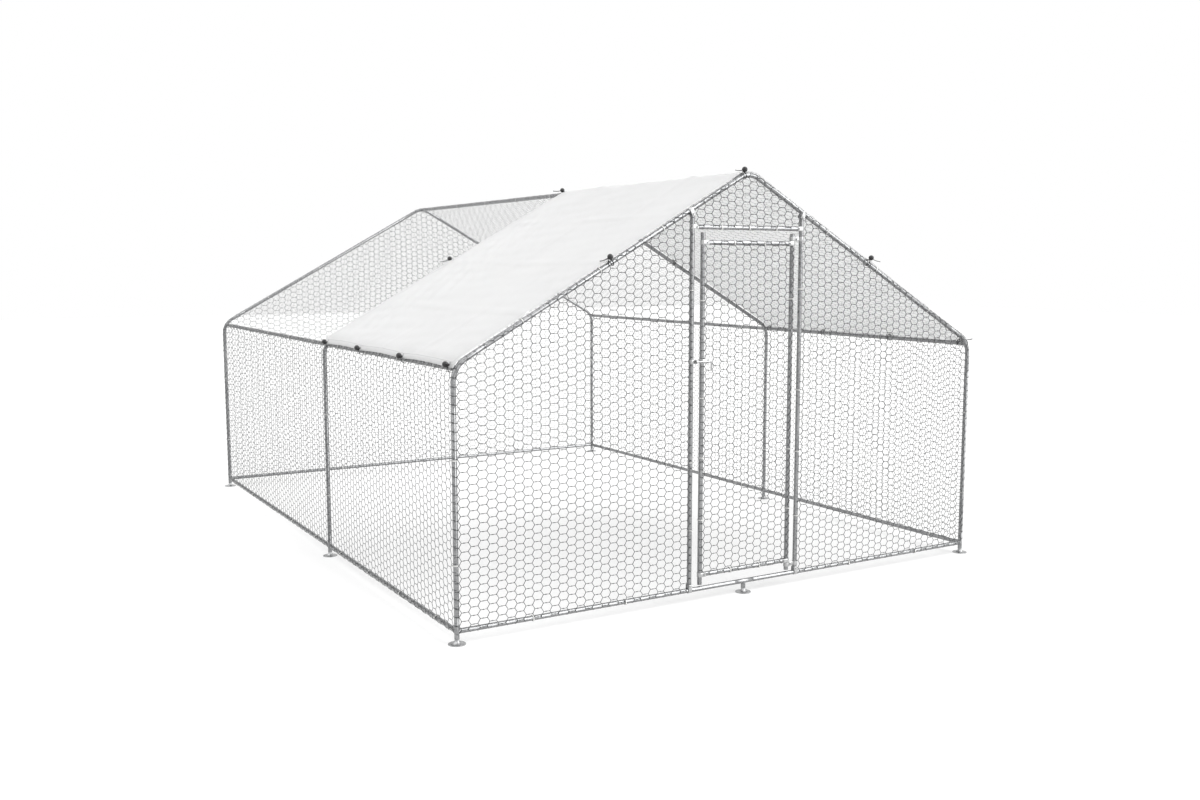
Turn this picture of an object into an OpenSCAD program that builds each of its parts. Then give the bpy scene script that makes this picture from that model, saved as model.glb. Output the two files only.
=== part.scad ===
// Walk-in poultry run: plug-together tube frame, wire netting, hinged door and a cover on the first bay.
// The origin lies on the ground at the middle of the footprint. The door end faces -Y and Z is up.

/* [Overall] */
// Distance between post axes across the run
run_width = 3000; // [2600:10:3400]
// Covered bay at the door end, between frame axes
front_bay = 1700; // [1500:10:2000]
// Open bay behind it, between frame axes
rear_bay = 2300; // [2000:10:2600]
// Height at which post and rafter axes cross
eave_height = 1160; // [1080:5:1240]
// Height at which the rafter axes cross
ridge_height = 2000; // [1920:5:2100]

/* [Tubes] */
// Outside diameter of the frame tubes
tube_d = 22; // [20:0.5:26]
// Wall of the frame tubes
tube_wall = 1; // [0.8:0.1:1.4]
// Centreline radius of the bent elbows
bend_radius = 110; // [95:5:130]
// How much the tube's radius shrinks in a bend
bend_step = 0.2; // [0.1:0.02:0.3]
// Half the length over which it shrinks
bend_taper = 2; // [1.5:0.1:3]
// Straight run at each end of an elbow
elbow_leg = 100; // [80:5:130]
// Length of a spigot inside its socket
spigot_length = 60; // [40:1:70]
// Length of the taper from tube to spigot
swage_taper = 2; // [1.5:0.1:3]
// Gap all round between loose curved parts
fit_gap = 0.3; // [0.25:0.05:0.4]
// Gap between a rail's end and the tube it meets
butt_gap = 0.6; // [0.4:0.1:1]

/* [Base] */
// Height of the base rail axis
rail_height = 55; // [48:1:65]
// Underside of the corner tees
tee_bottom = 22; // [18:1:26]
// Height of the seam between corner tee and post
tee_top = 112; // [100:1:130]
// Length of the sleeve in the middle of each end rail
centre_sleeve = 110; // [90:2:140]
// Diameter of a foot plate
foot_d = 76; // [72:1:90]
// Thickness of a foot plate at its rim
foot_plate = 3; // [2.5:0.5:4]
// Diameter where the foot starts to flare
foot_flare_d = 66; // [56:1:70]
// Clear height between a foot's flare and its tee
foot_clear = 2; // [1:0.5:3]
// How far a foot stem reaches into its tee
foot_reach = 24; // [15:1:26]

/* [Door] */
// Distance from the middle to each door post axis
door_post_x = 320; // [290:2:400]
// Distance of the lintel axis below the ridge
lintel_drop = 258; // [240:2:300]
// Distance between hinge stile and its post
hinge_gap = 55; // [50:1:62]
// Distance between latch stile and its post
latch_gap = 60; // [58:1:64]
// Distance of the door's bottom rail axis above the base rail
door_sill = 67; // [63:1:77]
// Distance of the door's top rail axis below the lintel
door_head = 70; // [66:1:140]
// How far the stiles pass the rail axes at the top
stile_top = 46; // [42:1:48]
// How far the stiles pass the rail axes at the bottom
stile_bottom = 48; // [42:1:49]

/* [Straps and bolts] */
// Thickness of the straps
strap_t = 2; // [1.5:0.1:2.5]
// Width of the straps
strap_w = 20; // [16:1:22]
// Distance from the bolt to the tube's surface
strap_bolt = 9; // [8:0.5:11]
// Distance from the bolt to the end of a leg
strap_end = 8; // [7:0.5:9]
// Bolt diameter
bolt_d = 6; // [5:0.5:6]
// Width of bolt heads and nuts across corners
bolt_head_d = 11; // [9:0.5:12]
// Height of the bolt heads
bolt_head = 4; // [3:0.5:4]
// Height of the nuts
nut_h = 5; // [4:0.5:6]
// Length of thread beyond a nut
bolt_end = 2; // [1:0.5:3]

/* [Latch] */
// Height of the latch
latch_height = 1130; // [1000:5:1250]
// Distance of the latch rod in front of the door's middle plane
latch_out = 25; // [24:0.5:27]
// Diameter of the latch rod
latch_rod_d = 8; // [7:0.5:9]
// Travel of the latch rod
latch_travel = 20; // [16:1:22]
// Wall of the latch sleeve
sleeve_wall = 2; // [1.5:0.1:2.5]
// Sleeve length on the post's side of the stile axis
sleeve_left = 15; // [12:1:16]
// Sleeve length on the door's side of the stile axis
sleeve_right = 6.5; // [5:0.5:6.5]
// Thickness of the keeper's eye
keeper_t = 3; // [2.5:0.5:4]
// Free play between the rod's tip and the eye
tip_play = 2; // [1:0.5:3]
// Length of the stop collar on the rod
collar_l = 3; // [2:0.5:4]
// Length of the handle below the rod
handle_l = 42; // [30:1:50]
// Bend radius of the handle
handle_bend = 10; // [8:1:12]

/* [Netting] */
// Distance between neighbouring wire columns of the real netting
mesh_u = 42.5; // [38:0.5:50]
// Distance between neighbouring wire rows of the real netting
mesh_v = 37; // [33:0.5:44]
// Length of the twisted edges
mesh_twist = 31; // [26:0.5:34]
// Real gaps per modelled gap, each way
mesh_step = 10; // [8:1:14]
// Width of a modelled wire, which stands for the wires of ten real gaps
net_web = 6; // [4:0.5:8]
// Width of the band along the edge of a panel
net_edge = 6; // [4:0.5:7]
// Thickness of a panel
net_t = 2; // [1.5:0.1:2.5]
// Distance from a bolted tube's axis to the panel's edge
net_clear = 7; // [6.5:0.5:9]
// Gap between panels on one tube
net_part = 3; // [2:0.5:5]

/* [Ties and cover] */
// Width of the ties that hold the netting
net_tie_w = 5; // [4:0.5:7]
// Largest distance between netting ties
net_tie_pitch = 520; // [420:10:700]
// Thickness of the cover
cover_t = 1; // [0.8:0.1:1.5]
// How far the cover reaches past a tube's axis
cover_lap = 5; // [4:0.5:5.5]
// Distance from the tube's axis to an eyelet's middle
eyelet_in = 10; // [9.5:0.5:11]
// Clear diameter of the eyelets
eyelet_d = 12; // [12:0.5:13]
// Diameter of the eyelet flanges
eyelet_rim_d = 21; // [20:0.5:22]
// Thickness of the eyelet flanges
eyelet_t = 0.8; // [0.6:0.1:1]
// Diameter of a cover tie's elastic cord
tie_d = 2.5; // [2.2:0.1:2.6]
// Diameter of a cover tie's ball
tie_ball_d = 26; // [22:1:28]
// Length of a cover tie's free end
tie_tail = 36; // [28:1:42]
// Lean of the ties on the rafters and at the ridge
tie_lean = 60; // [60:1:75]
// Distance of the end ties from the frame axes
tie_inset = 45; // [40:1:60]
// Distance of the ridge ties from the middle
ridge_tie_x = 32; // [28:1:40]

/* [Hidden] */
$fn = 48;
// Reach of every cutting shape past the part it cuts
overrun = 3;
arc_steps = 8;
arc_shares = [for (i = [0:arc_steps]) i / arc_steps];
tie_shares = [1 / 3, 2 / 3];
mid_share = 1 / 2;
sliver_share = 0.012;
roof_row_share = 0.25;
foot_curve_shares = [[0.62, 0.12], [0.34, 0.34], [0.14, 0.66]];
door_tie_shares = [0.17, 0.36, 0.54, 0.83];
rail_tie_shares = [0.25, 0.5, 0.75];
rafter_tie_shares = [0.14, 0.45, 0.72];
steel = "Gainsboro";
zinc = "Silver";
dark = "DimGray";
white = "WhiteSmoke";
black = "Black";

tube_r = tube_d / 2;
bore_r = tube_r - tube_wall;
spigot_r = bore_r - fit_gap;
spigot_bore = spigot_r - tube_wall;
half_w = run_width / 2;
y_rear = (front_bay + rear_bay) / 2;
y_front = -y_rear;
y_mid = y_front + front_bay;
slope = atan((ridge_height - eave_height) / half_w);
eave_turn = 90 - slope;
eave_tangent = bend_radius * tan(eave_turn / 2);
ridge_tangent = bend_radius * tan(slope);
rafter_span = half_w / cos(slope);
uphill = [cos(slope), sin(slope)];
eave_corner = [-half_w, eave_height];
eave_centre = eave_corner + [bend_radius, -eave_tangent];
eave_high = eave_corner + eave_tangent * uphill;
eave_seat = eave_centre + bend_radius * [cos(180 - eave_turn / 2), sin(180 - eave_turn / 2)];
ridge_centre = [0, ridge_height - bend_radius / cos(slope)];
ridge_seat = ridge_centre + [0, bend_radius];
ridge_low = [0, ridge_height] - ridge_tangent * uphill;
socket_low = eave_height - eave_tangent - elbow_leg;
rafter_start = eave_tangent + elbow_leg + swage_taper;
rafter_end = rafter_span - ridge_tangent - elbow_leg;

foot_flare = tee_bottom - foot_plate - foot_clear;

strap_in = tube_r + fit_gap;
strap_out = strap_in + strap_t;
strap_drop = tube_r + strap_bolt;
strap_leg = strap_drop + strap_end;
hole_r = bolt_d / 2 + fit_gap;
lintel_height = ridge_height - lintel_drop;
door_rail_low = rail_height + door_sill;
door_rail_high = lintel_height - door_head;
hinge_x = door_post_x - hinge_gap;
stile_x = -door_post_x + latch_gap;
door_bottom = door_rail_low - stile_bottom;
door_top = door_rail_high + stile_top;
hinge_low = door_rail_low - tube_r - fit_gap - strap_w / 2;
hinge_high = door_rail_high + tube_r + fit_gap + strap_w / 2;
rod_r = latch_rod_d / 2;
sleeve_bore = rod_r + fit_gap;
sleeve_r = sleeve_bore + sleeve_wall;
eye_r = sleeve_r + sleeve_wall;
keeper_x = strap_drop - bolt_head_d / 2 - fit_gap - keeper_t;
rod_tip = -door_post_x + keeper_x + keeper_t + tip_play - stile_x;
handle_x = sleeve_right + latch_travel + butt_gap + handle_bend;
collar_r = (sleeve_bore + sleeve_r) / 2;

net_off = strap_out + fit_gap;
net_top = net_off + net_t;
cover_off = net_top + fit_gap;
cover_top = cover_off + cover_t;
eyelet_base = cover_top + fit_gap / 2;
tie_in = eyelet_base + eyelet_t + 3 * fit_gap;
tie_ball_x = tie_in + tie_d + tie_ball_d / 2 - 2 * fit_gap;
pitch_u = mesh_u * mesh_step;
pitch_v = mesh_v * mesh_step;
flat_u = mesh_twist * mesh_step;

// Placing helpers

// Stands a drawing made in the XY plane up in the gable at depth y
module gable(y) {
  translate([0, y, 0]) rotate([90, 0, 0]) children();
}

// Keeps the left-hand shape or mirrors it to the right
module on_side(right) {
  if (right) mirror([1, 0, 0]) children();
  else children();
}

module on_both() {
  children();
  mirror([1, 0, 0]) children();
}

// Turns a shape along Z to lie along X
module along_x() {
  rotate([0, 90, 0]) children();
}

// Turns a shape along Z to lie along Y
module along_y() {
  rotate([-90, 0, 0]) children();
}

// Puts the Z axis on a point of the left slope, square to it, d up the rafter from the eave corner
module on_slope(y, d) {
  p = eave_corner + d * uphill;
  translate([p[0], y, p[1]]) rotate([0, -slope, 0]) children();
}

// Tubes

module pipe(length) {
  difference() {
    cylinder(h = length, r = tube_r);
    translate([0, 0, -overrun]) cylinder(h = length + 2 * overrun, r = bore_r);
  }
}

// Tube with a swaged spigot at its upper end
module swaged_pipe(length) {
  rotate_extrude() polygon(concat(swaged_side(length, tube_r, spigot_r, 0, 0),
    reverse(swaged_side(length, bore_r, spigot_bore, 0, 0))));
}

function reverse(list) = [for (i = [len(list) - 1:-1:0]) list[i]];

// Side of a swaged tube or its bore, longer by before and after at its ends
function swaged_side(length, wide, narrow, before, after) = [
  [wide, -before], [wide, length], [narrow, length + swage_taper],
  [narrow, length + swage_taper + spigot_length + after]
];

// Solid of a swaged tube's outside or of its bore
module swaged_solid(length, wide, narrow, before, after) {
  translate([0, 0, -before]) cylinder(h = length + before, r = wide);
  translate([0, 0, length]) cylinder(h = swage_taper, r1 = wide, r2 = narrow);
  translate([0, 0, length + swage_taper]) cylinder(h = spigot_length + after, r = narrow);
}

// Bend of a tube, a little slimmer than its straight ends and let into them
module bend_solid(turn, r) {
  reach = 90 * bend_taper / (PI * bend_radius);
  rotate([0, 0, -reach]) rotate_extrude(angle = turn + 2 * reach) translate([bend_radius, 0])
    circle(r - bend_step);
}

// Start of a straight end, which tapers into the bend below it
module bend_end(r) {
  translate([0, 0, -bend_taper]) cylinder(h = 2 * bend_taper, r1 = r - 2 * bend_step, r2 = r);
}

// Posts and rafters

module post(y, right) {
  color(steel) on_side(right) translate([-half_w, y, tee_top + swage_taper])
    swaged_pipe(socket_low - tee_top - 2 * swage_taper);
}

module rafter(y, right) {
  color(steel) on_side(right) on_slope(y, rafter_start) along_x()
    swaged_pipe(rafter_end - rafter_start - swage_taper);
}

// Elbows

// Straight end of an elbow, from the bend's end upwards
module elbow_end(r, extra) {
  bend_end(r);
  translate([0, 0, bend_taper]) cylinder(h = elbow_leg - bend_taper + extra, r = r);
}

module eave_elbow_solid(wide, narrow, extra, stub_r, ways) {
  translate([-half_w, socket_low + elbow_leg, 0]) rotate([90, 0, 0]) elbow_end(wide, extra);
  translate(eave_centre) rotate([0, 0, 180 - eave_turn]) bend_solid(eave_turn, wide);
  translate(eave_high) rotate([0, 0, slope]) along_x() {
    bend_end(wide);
    swaged_solid(elbow_leg, wide, narrow, -bend_taper, extra);
  }
  for (way = ways) translate(eave_seat) rotate([way < 0 ? 0 : 180, 0, 0])
    cylinder(h = tube_r + spigot_length + extra, r = stub_r);
}

module eave_elbow(y, ways) {
  gable(y) difference() {
    eave_elbow_solid(tube_r, spigot_r, 0, spigot_r, ways);
    eave_elbow_solid(bore_r, spigot_bore, overrun, spigot_bore, ways);
  }
}

module eave_elbows_corner() {
  color(steel) on_both() {
    eave_elbow(y_front, [1]);
    eave_elbow(y_rear, [-1]);
  }
}

module eave_elbows_mid() {
  color(steel) on_both() eave_elbow(y_mid, [1, -1]);
}

module ridge_elbow_solid(wide, extra, stub_r, ways) {
  translate(ridge_centre) rotate([0, 0, 90 - slope]) bend_solid(2 * slope, wide);
  on_both() translate(ridge_low) rotate([0, 0, slope + 180]) along_x() elbow_end(wide, extra);
  for (way = ways) translate(ridge_seat) rotate([way < 0 ? 0 : 180, 0, 0])
    cylinder(h = tube_r + spigot_length + extra, r = stub_r);
}

module ridge_elbow(y, ways) {
  gable(y) difference() {
    ridge_elbow_solid(tube_r, 0, spigot_r, ways);
    ridge_elbow_solid(bore_r, overrun, spigot_bore, ways);
  }
}

module ridge_elbows() {
  color(steel) {
    ridge_elbow(y_front, [1]);
    ridge_elbow(y_mid, [1, -1]);
    ridge_elbow(y_rear, [-1]);
  }
}

// Rails along the run

module rail_between(x, z, y0, y1) {
  translate([x, y0 + tube_r + butt_gap, z]) along_y() pipe(y1 - y0 - 2 * (tube_r + butt_gap));
}

module ridge_purlin(y0, y1) {
  color(steel) rail_between(0, ridge_seat[1], y0, y1);
}

module eave_rail(y0, y1, right) {
  color(steel) on_side(right) rail_between(eave_seat[0], eave_seat[1], y0, y1);
}

module base_rail(y0, y1, right) {
  color(steel) on_side(right) rail_between(-half_w, rail_height, y0, y1);
}

module end_base_rails(y) {
  start = half_w - tube_r - butt_gap;
  end = centre_sleeve / 2 + swage_taper;
  color(steel) on_both() translate([-start, y, rail_height]) along_x() pipe(start - end);
}

// Base tees and feet

module tee_stub(turn, length, r) {
  translate([0, 0, rail_height]) rotate([0, 0, turn]) along_x() cylinder(h = length, r = r);
}

module base_tee(y, turns) {
  translate([-half_w, y, 0]) difference() {
    union() {
      translate([0, 0, tee_bottom]) swaged_solid(tee_top - tee_bottom, tube_r, spigot_r, 0, 0);
      for (turn = turns) tee_stub(turn, tube_r + spigot_length, spigot_r);
    }
    translate([0, 0, tee_bottom]) swaged_solid(tee_top - tee_bottom, bore_r, spigot_bore, overrun, overrun);
    for (turn = turns) tee_stub(turn, tube_r + spigot_length + overrun, spigot_bore);
  }
}

module base_tees_corner() {
  color(zinc) on_both() {
    base_tee(y_front, [0, 90]);
    base_tee(y_rear, [0, -90]);
  }
}

module base_tees_mid() {
  color(zinc) on_both() base_tee(y_mid, [90, -90]);
}

module centre_sleeve_solid(r, end_r, past) {
  on_both() along_x() swaged_solid(centre_sleeve / 2, r, end_r, 0, past);
}

module base_tee_centre() {
  leg = rail_height - tee_bottom;
  translate([0, y_front, rail_height]) difference() {
    union() {
      centre_sleeve_solid(tube_r, spigot_r, 0);
      translate([0, 0, -leg]) cylinder(h = leg, r = tube_r);
    }
    centre_sleeve_solid(bore_r, spigot_bore, overrun);
    translate([0, 0, -leg - overrun]) cylinder(h = leg + overrun, r = bore_r);
  }
}

module base_joiner() {
  translate([0, y_rear, rail_height]) difference() {
    centre_sleeve_solid(tube_r, spigot_r, 0);
    centre_sleeve_solid(bore_r, spigot_bore, overrun);
  }
}

module base_tees_centre() {
  color(zinc) {
    base_tee_centre();
    base_joiner();
  }
}

module foot() {
  flare_r = foot_flare_d / 2;
  top = tee_bottom + foot_reach;
  rotate_extrude() polygon(concat(
    [[0, 0], [foot_d / 2, 0], [foot_d / 2, foot_plate], [flare_r, foot_plate]],
    [for (s = foot_curve_shares)
      [spigot_r + s[0] * (flare_r - spigot_r), foot_plate + s[1] * foot_flare]],
    [[spigot_r, foot_plate + foot_flare], [spigot_r, top], [spigot_bore, top],
      [spigot_bore, foot_plate], [0, foot_plate]]));
}

module feet() {
  color(dark) {
    for (y = [y_front, y_mid, y_rear]) on_both() translate([-half_w, y, 0]) foot();
    translate([0, y_front, 0]) foot();
  }
}

// Straps and bolts

// Strap round a tube along X, with its legs downwards
module saddle_strap() {
  difference() {
    rotate([90, 0, 90]) linear_extrude(strap_w, center = true) difference() {
      union() {
        circle(strap_out);
        translate([-strap_out, -strap_leg]) square([2 * strap_out, strap_leg]);
      }
      circle(strap_in);
      translate([-strap_in, -strap_leg - overrun]) square([2 * strap_in, strap_leg + overrun]);
    }
    translate([0, 0, -strap_drop]) cross_hole();
  }
}

// Hole along Y for a bolt
module cross_hole() {
  translate([0, -strap_out - overrun, 0]) along_y() cylinder(h = 2 * (strap_out + overrun), r = hole_r);
}

// Bolt along Y with its head in front, and its nut
module bolt_and_nut(grip) {
  translate([0, -grip / 2, 0]) along_y() {
    cylinder(h = grip + nut_h + bolt_end, d = bolt_d);
    translate([0, 0, -bolt_head]) cylinder(h = bolt_head, d = bolt_head_d, $fn = 6);
    translate([0, 0, grip]) difference() {
      cylinder(h = nut_h, d = bolt_head_d, $fn = 6);
      translate([0, 0, -overrun]) cylinder(h = nut_h + 2 * overrun, r = bolt_d / 2 + fit_gap / 2);
    }
  }
}

// Puts the strap's tube axis on the rafter so that its bolt meets the door post's axis
module at_post_top() {
  x = -door_post_x - strap_drop * sin(slope);
  z = ridge_height + x * tan(slope);
  translate([x, y_front, z]) rotate([0, -slope, 0]) children();
}

module at_post_foot() {
  translate([-door_post_x, y_front, rail_height]) rotate([180, 0, 0]) children();
}

// Puts a strap round a tube along Z with its legs towards +X
module legs_right(x, z) {
  translate([x, y_front, z]) rotate([0, -90, 0]) children();
}

module legs_left(x, z) {
  translate([x, y_front, z]) rotate([0, 90, 0]) children();
}

module frame_straps() {
  color(zinc) on_both() {
    at_post_top() saddle_strap();
    at_post_foot() saddle_strap();
    legs_right(-door_post_x, lintel_height) saddle_strap();
  }
}

module frame_bolts() {
  color(zinc) {
    on_both() {
      at_post_top() translate([0, 0, -strap_drop]) bolt_and_nut(2 * strap_out);
      translate([-door_post_x, y_front, rail_height + strap_drop]) bolt_and_nut(2 * strap_out);
      translate([-door_post_x + strap_drop, y_front, lintel_height]) bolt_and_nut(2 * strap_out);
    }
    for (z = [hinge_low, hinge_high])
      translate([door_post_x - hinge_gap / 2, y_front, z]) bolt_and_nut(2 * strap_t + fit_gap);
    translate([-door_post_x + strap_drop, y_front, latch_height]) bolt_and_nut(2 * strap_out);
  }
}

// Door posts and lintel

module door_post(right) {
  top = ridge_height - door_post_x * tan(slope);
  color(steel) on_side(right) difference() {
    translate([-door_post_x, y_front, rail_height]) pipe(top - rail_height);
    translate([-door_post_x - strap_out, y_front, rail_height]) along_x()
      cylinder(h = 2 * strap_out, r = strap_in);
    on_slope(y_front, rafter_start) along_x() cylinder(h = rafter_end, r = strap_in);
    at_post_top() translate([0, 0, -strap_drop]) cross_hole();
    translate([-door_post_x, y_front, rail_height + strap_drop]) cross_hole();
  }
}

// Tube along X between two upright tubes, with saddle ends and a bolt hole near each
module coped_rail(x0, x1, z) {
  difference() {
    translate([x0, y_front, z]) along_x() pipe(x1 - x0);
    for (x = [x0, x1]) translate([x, y_front, z - strap_out]) cylinder(h = 2 * strap_out, r = strap_in);
    for (x = [x0 + strap_drop, x1 - strap_drop]) translate([x, y_front, z]) cross_hole();
  }
}

module lintel() {
  color(steel) coped_rail(-door_post_x, door_post_x, lintel_height);
}

// Hinge clamps: two plates bolted together, tight on the post and free on the stile

module hinge_half(front) {
  half_gap = fit_gap / 2;
  difference() {
    linear_extrude(strap_w, center = true) difference() {
      union() {
        for (x = [0, hinge_gap]) translate([x, 0]) intersection() {
          circle(strap_out);
          translate([-strap_out, front ? -strap_out - half_gap : half_gap])
            square([2 * strap_out, strap_out]);
        }
        translate([strap_in, front ? -strap_t - half_gap : half_gap])
          square([hinge_gap - 2 * strap_in, strap_t]);
      }
      for (x = [0, hinge_gap]) translate([x, 0]) circle(strap_in);
    }
    translate([hinge_gap / 2, 0, 0]) cross_hole();
  }
}

module hinge_clamps() {
  color(zinc) for (z = [hinge_low, hinge_high]) translate([hinge_x, y_front, z]) {
    hinge_half(true);
    hinge_half(false);
  }
}

// Latch

module latch_keeper() {
  color(zinc) difference() {
    union() {
      legs_right(-door_post_x, latch_height) saddle_strap();
      translate([-door_post_x + keeper_x, y_front - latch_out, latch_height]) {
        along_x() cylinder(h = keeper_t, r = eye_r);
        translate([0, 0, -eye_r]) cube([keeper_t, latch_out - strap_in - strap_t / 2, 2 * eye_r]);
      }
    }
    translate([-door_post_x + keeper_x - overrun, y_front - latch_out, latch_height])
      along_x() cylinder(h = keeper_t + 2 * overrun, r = sleeve_bore);
  }
}

module latch_guide() {
  color(zinc) difference() {
    union() {
      legs_right(stile_x, latch_height) saddle_strap();
      translate([stile_x, y_front - latch_out, latch_height]) {
        translate([-sleeve_left, 0, 0]) along_x() cylinder(h = sleeve_left + sleeve_right, r = sleeve_r);
        translate([0, 0, -sleeve_r / 2])
          cube([sleeve_right, latch_out - strap_in - strap_t / 2, sleeve_r]);
      }
    }
    translate([stile_x - sleeve_left - overrun, y_front - latch_out, latch_height])
      along_x() cylinder(h = sleeve_left + sleeve_right + 2 * overrun, r = sleeve_bore);
  }
}

module latch_bolt() {
  color(dark) translate([stile_x, y_front - latch_out, latch_height]) {
    translate([rod_tip, 0, 0]) along_x() cylinder(h = handle_x - handle_bend - rod_tip, r = rod_r);
    translate([-sleeve_left - fit_gap - collar_l, 0, 0]) along_x() cylinder(h = collar_l, r = collar_r);
    translate([handle_x - handle_bend, 0, -handle_bend]) rotate([90, 0, 0])
      rotate_extrude(angle = 90) translate([handle_bend, 0]) circle(rod_r);
    translate([handle_x, 0, -handle_l]) cylinder(h = handle_l - handle_bend, r = rod_r);
  }
}

// Door

module stile(x) {
  color(steel) translate([x, y_front, door_bottom]) pipe(door_top - door_bottom);
}

module door_rail(z) {
  color(steel) coped_rail(stile_x, hinge_x, z);
}

module door_straps() {
  color(zinc) for (z = [door_rail_low, door_rail_high]) {
    legs_right(stile_x, z) saddle_strap();
    legs_left(hinge_x, z) saddle_strap();
  }
}

module door_bolts() {
  color(zinc) {
    for (z = [door_rail_low, door_rail_high], x = [stile_x + strap_drop, hinge_x - strap_drop])
      translate([x, y_front, z]) bolt_and_nut(2 * strap_out);
    translate([stile_x + strap_drop, y_front, latch_height]) bolt_and_nut(2 * strap_out);
  }
}

// Netting: flat panels whose gaps each stand for many real ones

mesh_slant = pitch_u - flat_u;
slant_l = norm([pitch_v / 2, mesh_slant]);
slant_n = [pitch_v / 2, mesh_slant] / slant_l;
slant_c = slant_n[0] * (flat_u / 2 + mesh_slant) - net_web / 2;
gap_h = (pitch_v - net_web) / 2;
gap_tip = slant_c / slant_n[0];
gap_flat = (slant_c - slant_n[1] * gap_h) / slant_n[0];

function gap_outline(u, v) = [
  [u + gap_tip, v], [u + gap_flat, v + gap_h], [u - gap_flat, v + gap_h],
  [u - gap_tip, v], [u - gap_flat, v - gap_h], [u + gap_flat, v - gap_h]
];

// Signed distance of p to the left of the line from a to b
function left_of(p, a, b) = cross(b - a, p - a) / norm(b - a);

function cut_point(p, q, dp, dq) = p + (q - p) * dp / (dp - dq);

// Part of a convex outline to the left of the line from a to b
function clip_line(poly, a, b) = [
  for (i = [0:1:len(poly) - 1])
    let (p = poly[i], q = poly[(i + 1) % len(poly)], dp = left_of(p, a, b), dq = left_of(q, a, b))
    each concat(dp >= 0 ? [p] : [], dp * dq < 0 ? [cut_point(p, q, dp, dq)] : [])
];

function clip(poly, by, i = 0) = i == len(by) || len(poly) < 3 ? poly
  : clip(clip_line(poly, by[i], by[(i + 1) % len(by)]), by, i + 1);

function area(poly) = len(poly) < 3 ? 0
  : sum([for (i = [0:len(poly) - 1]) cross(poly[i], poly[(i + 1) % len(poly)])]) / 2;

function sum(list, i = 0) = i == len(list) ? 0 : list[i] + sum(list, i + 1);

// Point where the lines beside corner i meet after moving inwards by d
function inset_corner(poly, i, d) =
  let (
    a = poly[(i + len(poly) - 1) % len(poly)], b = poly[i], c = poly[(i + 1) % len(poly)],
    e = (b - a) / norm(b - a), f = (c - b) / norm(c - b),
    turn = cross(e, f)
  )
  abs(turn) < 0.001 ? b + d * [-e[1], e[0]]
  : b + d * [-e[1], e[0]] + e * (d * (e * f - 1) / turn);

function inset(poly, d) = [for (i = [0:len(poly) - 1]) inset_corner(poly, i, d)];

// Flat panel of a convex outline given anticlockwise, its rows moved up by a share of their pitch
module net_panel(outline, row_share = 0) {
  inner = inset(outline, net_edge);
  low = [min([for (p = inner) p[0]]), min([for (p = inner) p[1]])];
  high = [max([for (p = inner) p[0]]), max([for (p = inner) p[1]])];
  middle = (low + high) / 2;
  cols = ceil((high[0] - low[0]) / pitch_u / 2) + 1;
  rows = ceil((high[1] - low[1]) / pitch_v / 2) + 1;
  gaps = [
    for (i = [-cols:cols], j = [-rows:rows])
      let (
        at = middle + [i * pitch_u, (j + row_share + (i % 2 == 0 ? 0 : mid_share)) * pitch_v],
        piece = clip(gap_outline(at[0], at[1]), inner)
      )
      if (area(piece) > sliver_share * pitch_u * pitch_v) piece
  ];
  linear_extrude(net_t) difference() {
    polygon(outline);
    for (piece = gaps) polygon(piece);
  }
}

function box_outline(x0, y0, x1, y1) = [[x0, y0], [x1, y0], [x1, y1], [x0, y1]];

// Centreline of the left eave bend, from its seat on the rafter down to the post
eave_arc = [for (s = arc_shares)
  eave_centre + bend_radius * [cos(180 - eave_turn * (1 - s)), sin(180 - eave_turn * (1 - s))]];
ridge_arc = [for (s = arc_shares)
  ridge_centre + bend_radius * [sin(slope * (1 - 2 * s)), cos(slope * (1 - 2 * s))]];

function mirrored(list) = reverse([for (p = list) [-p[0], p[1]]]);

// Height of the rafter axis at distance x from the middle
function rafter_z(x) = ridge_height - abs(x) * tan(slope);

module side_net(right) {
  color(zinc) on_side(right) for (bay = [[y_front, y_mid], [y_mid, y_rear]])
    translate([-half_w - net_off, 0, 0]) rotate([90, 0, -90])
      net_panel(box_outline(-bay[1] + net_part / 2, rail_height, -bay[0] - net_part / 2, eave_seat[1]));
}

module rear_net() {
  color(zinc) gable(y_rear + net_top)
    net_panel(concat([[-half_w, rail_height], [half_w, rail_height]],
      mirrored(eave_arc), ridge_arc, eave_arc));
}

module front_net() {
  edge = -door_post_x - net_clear;
  brow = door_post_x - net_clear;
  sill = lintel_height + net_clear;
  color(zinc) {
    on_both() gable(y_front - net_off) net_panel(concat(
      [[-half_w, rail_height], [edge, rail_height], [edge, rafter_z(edge)]], eave_arc));
    gable(y_front - net_off) net_panel(concat(
      [[-brow, sill], [brow, sill], [brow, rafter_z(brow)]], ridge_arc, [[-brow, rafter_z(brow)]]));
  }
}

module roof_net(right) {
  top = rafter_span - ridge_tangent;
  color(zinc) on_side(right) for (bay = [[y_front, y_mid], [y_mid, y_rear]])
    on_slope(0, 0) translate([0, 0, net_off]) rotate([0, 0, 90])
      net_panel(box_outline(bay[0] + net_part / 2, -top, bay[1] - net_part / 2, -eave_tangent),
        roof_row_share);
}

module door_net() {
  color(zinc) gable(y_front - net_off) net_panel(box_outline(stile_x + net_clear,
    door_rail_low + net_clear, hinge_x - net_clear, door_rail_high - net_clear));
}

// Ties that hold the netting to the tubes

module net_tie() {
  rotate_extrude() translate([strap_in, -net_tie_w / 2]) square([strap_t, net_tie_w]);
}

// Even spacing of ties over a length, none at its ends
function spaced(length) =
  let (n = ceil(length / net_tie_pitch)) [for (i = [0:n - 1]) length * (i + mid_share) / n];

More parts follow.
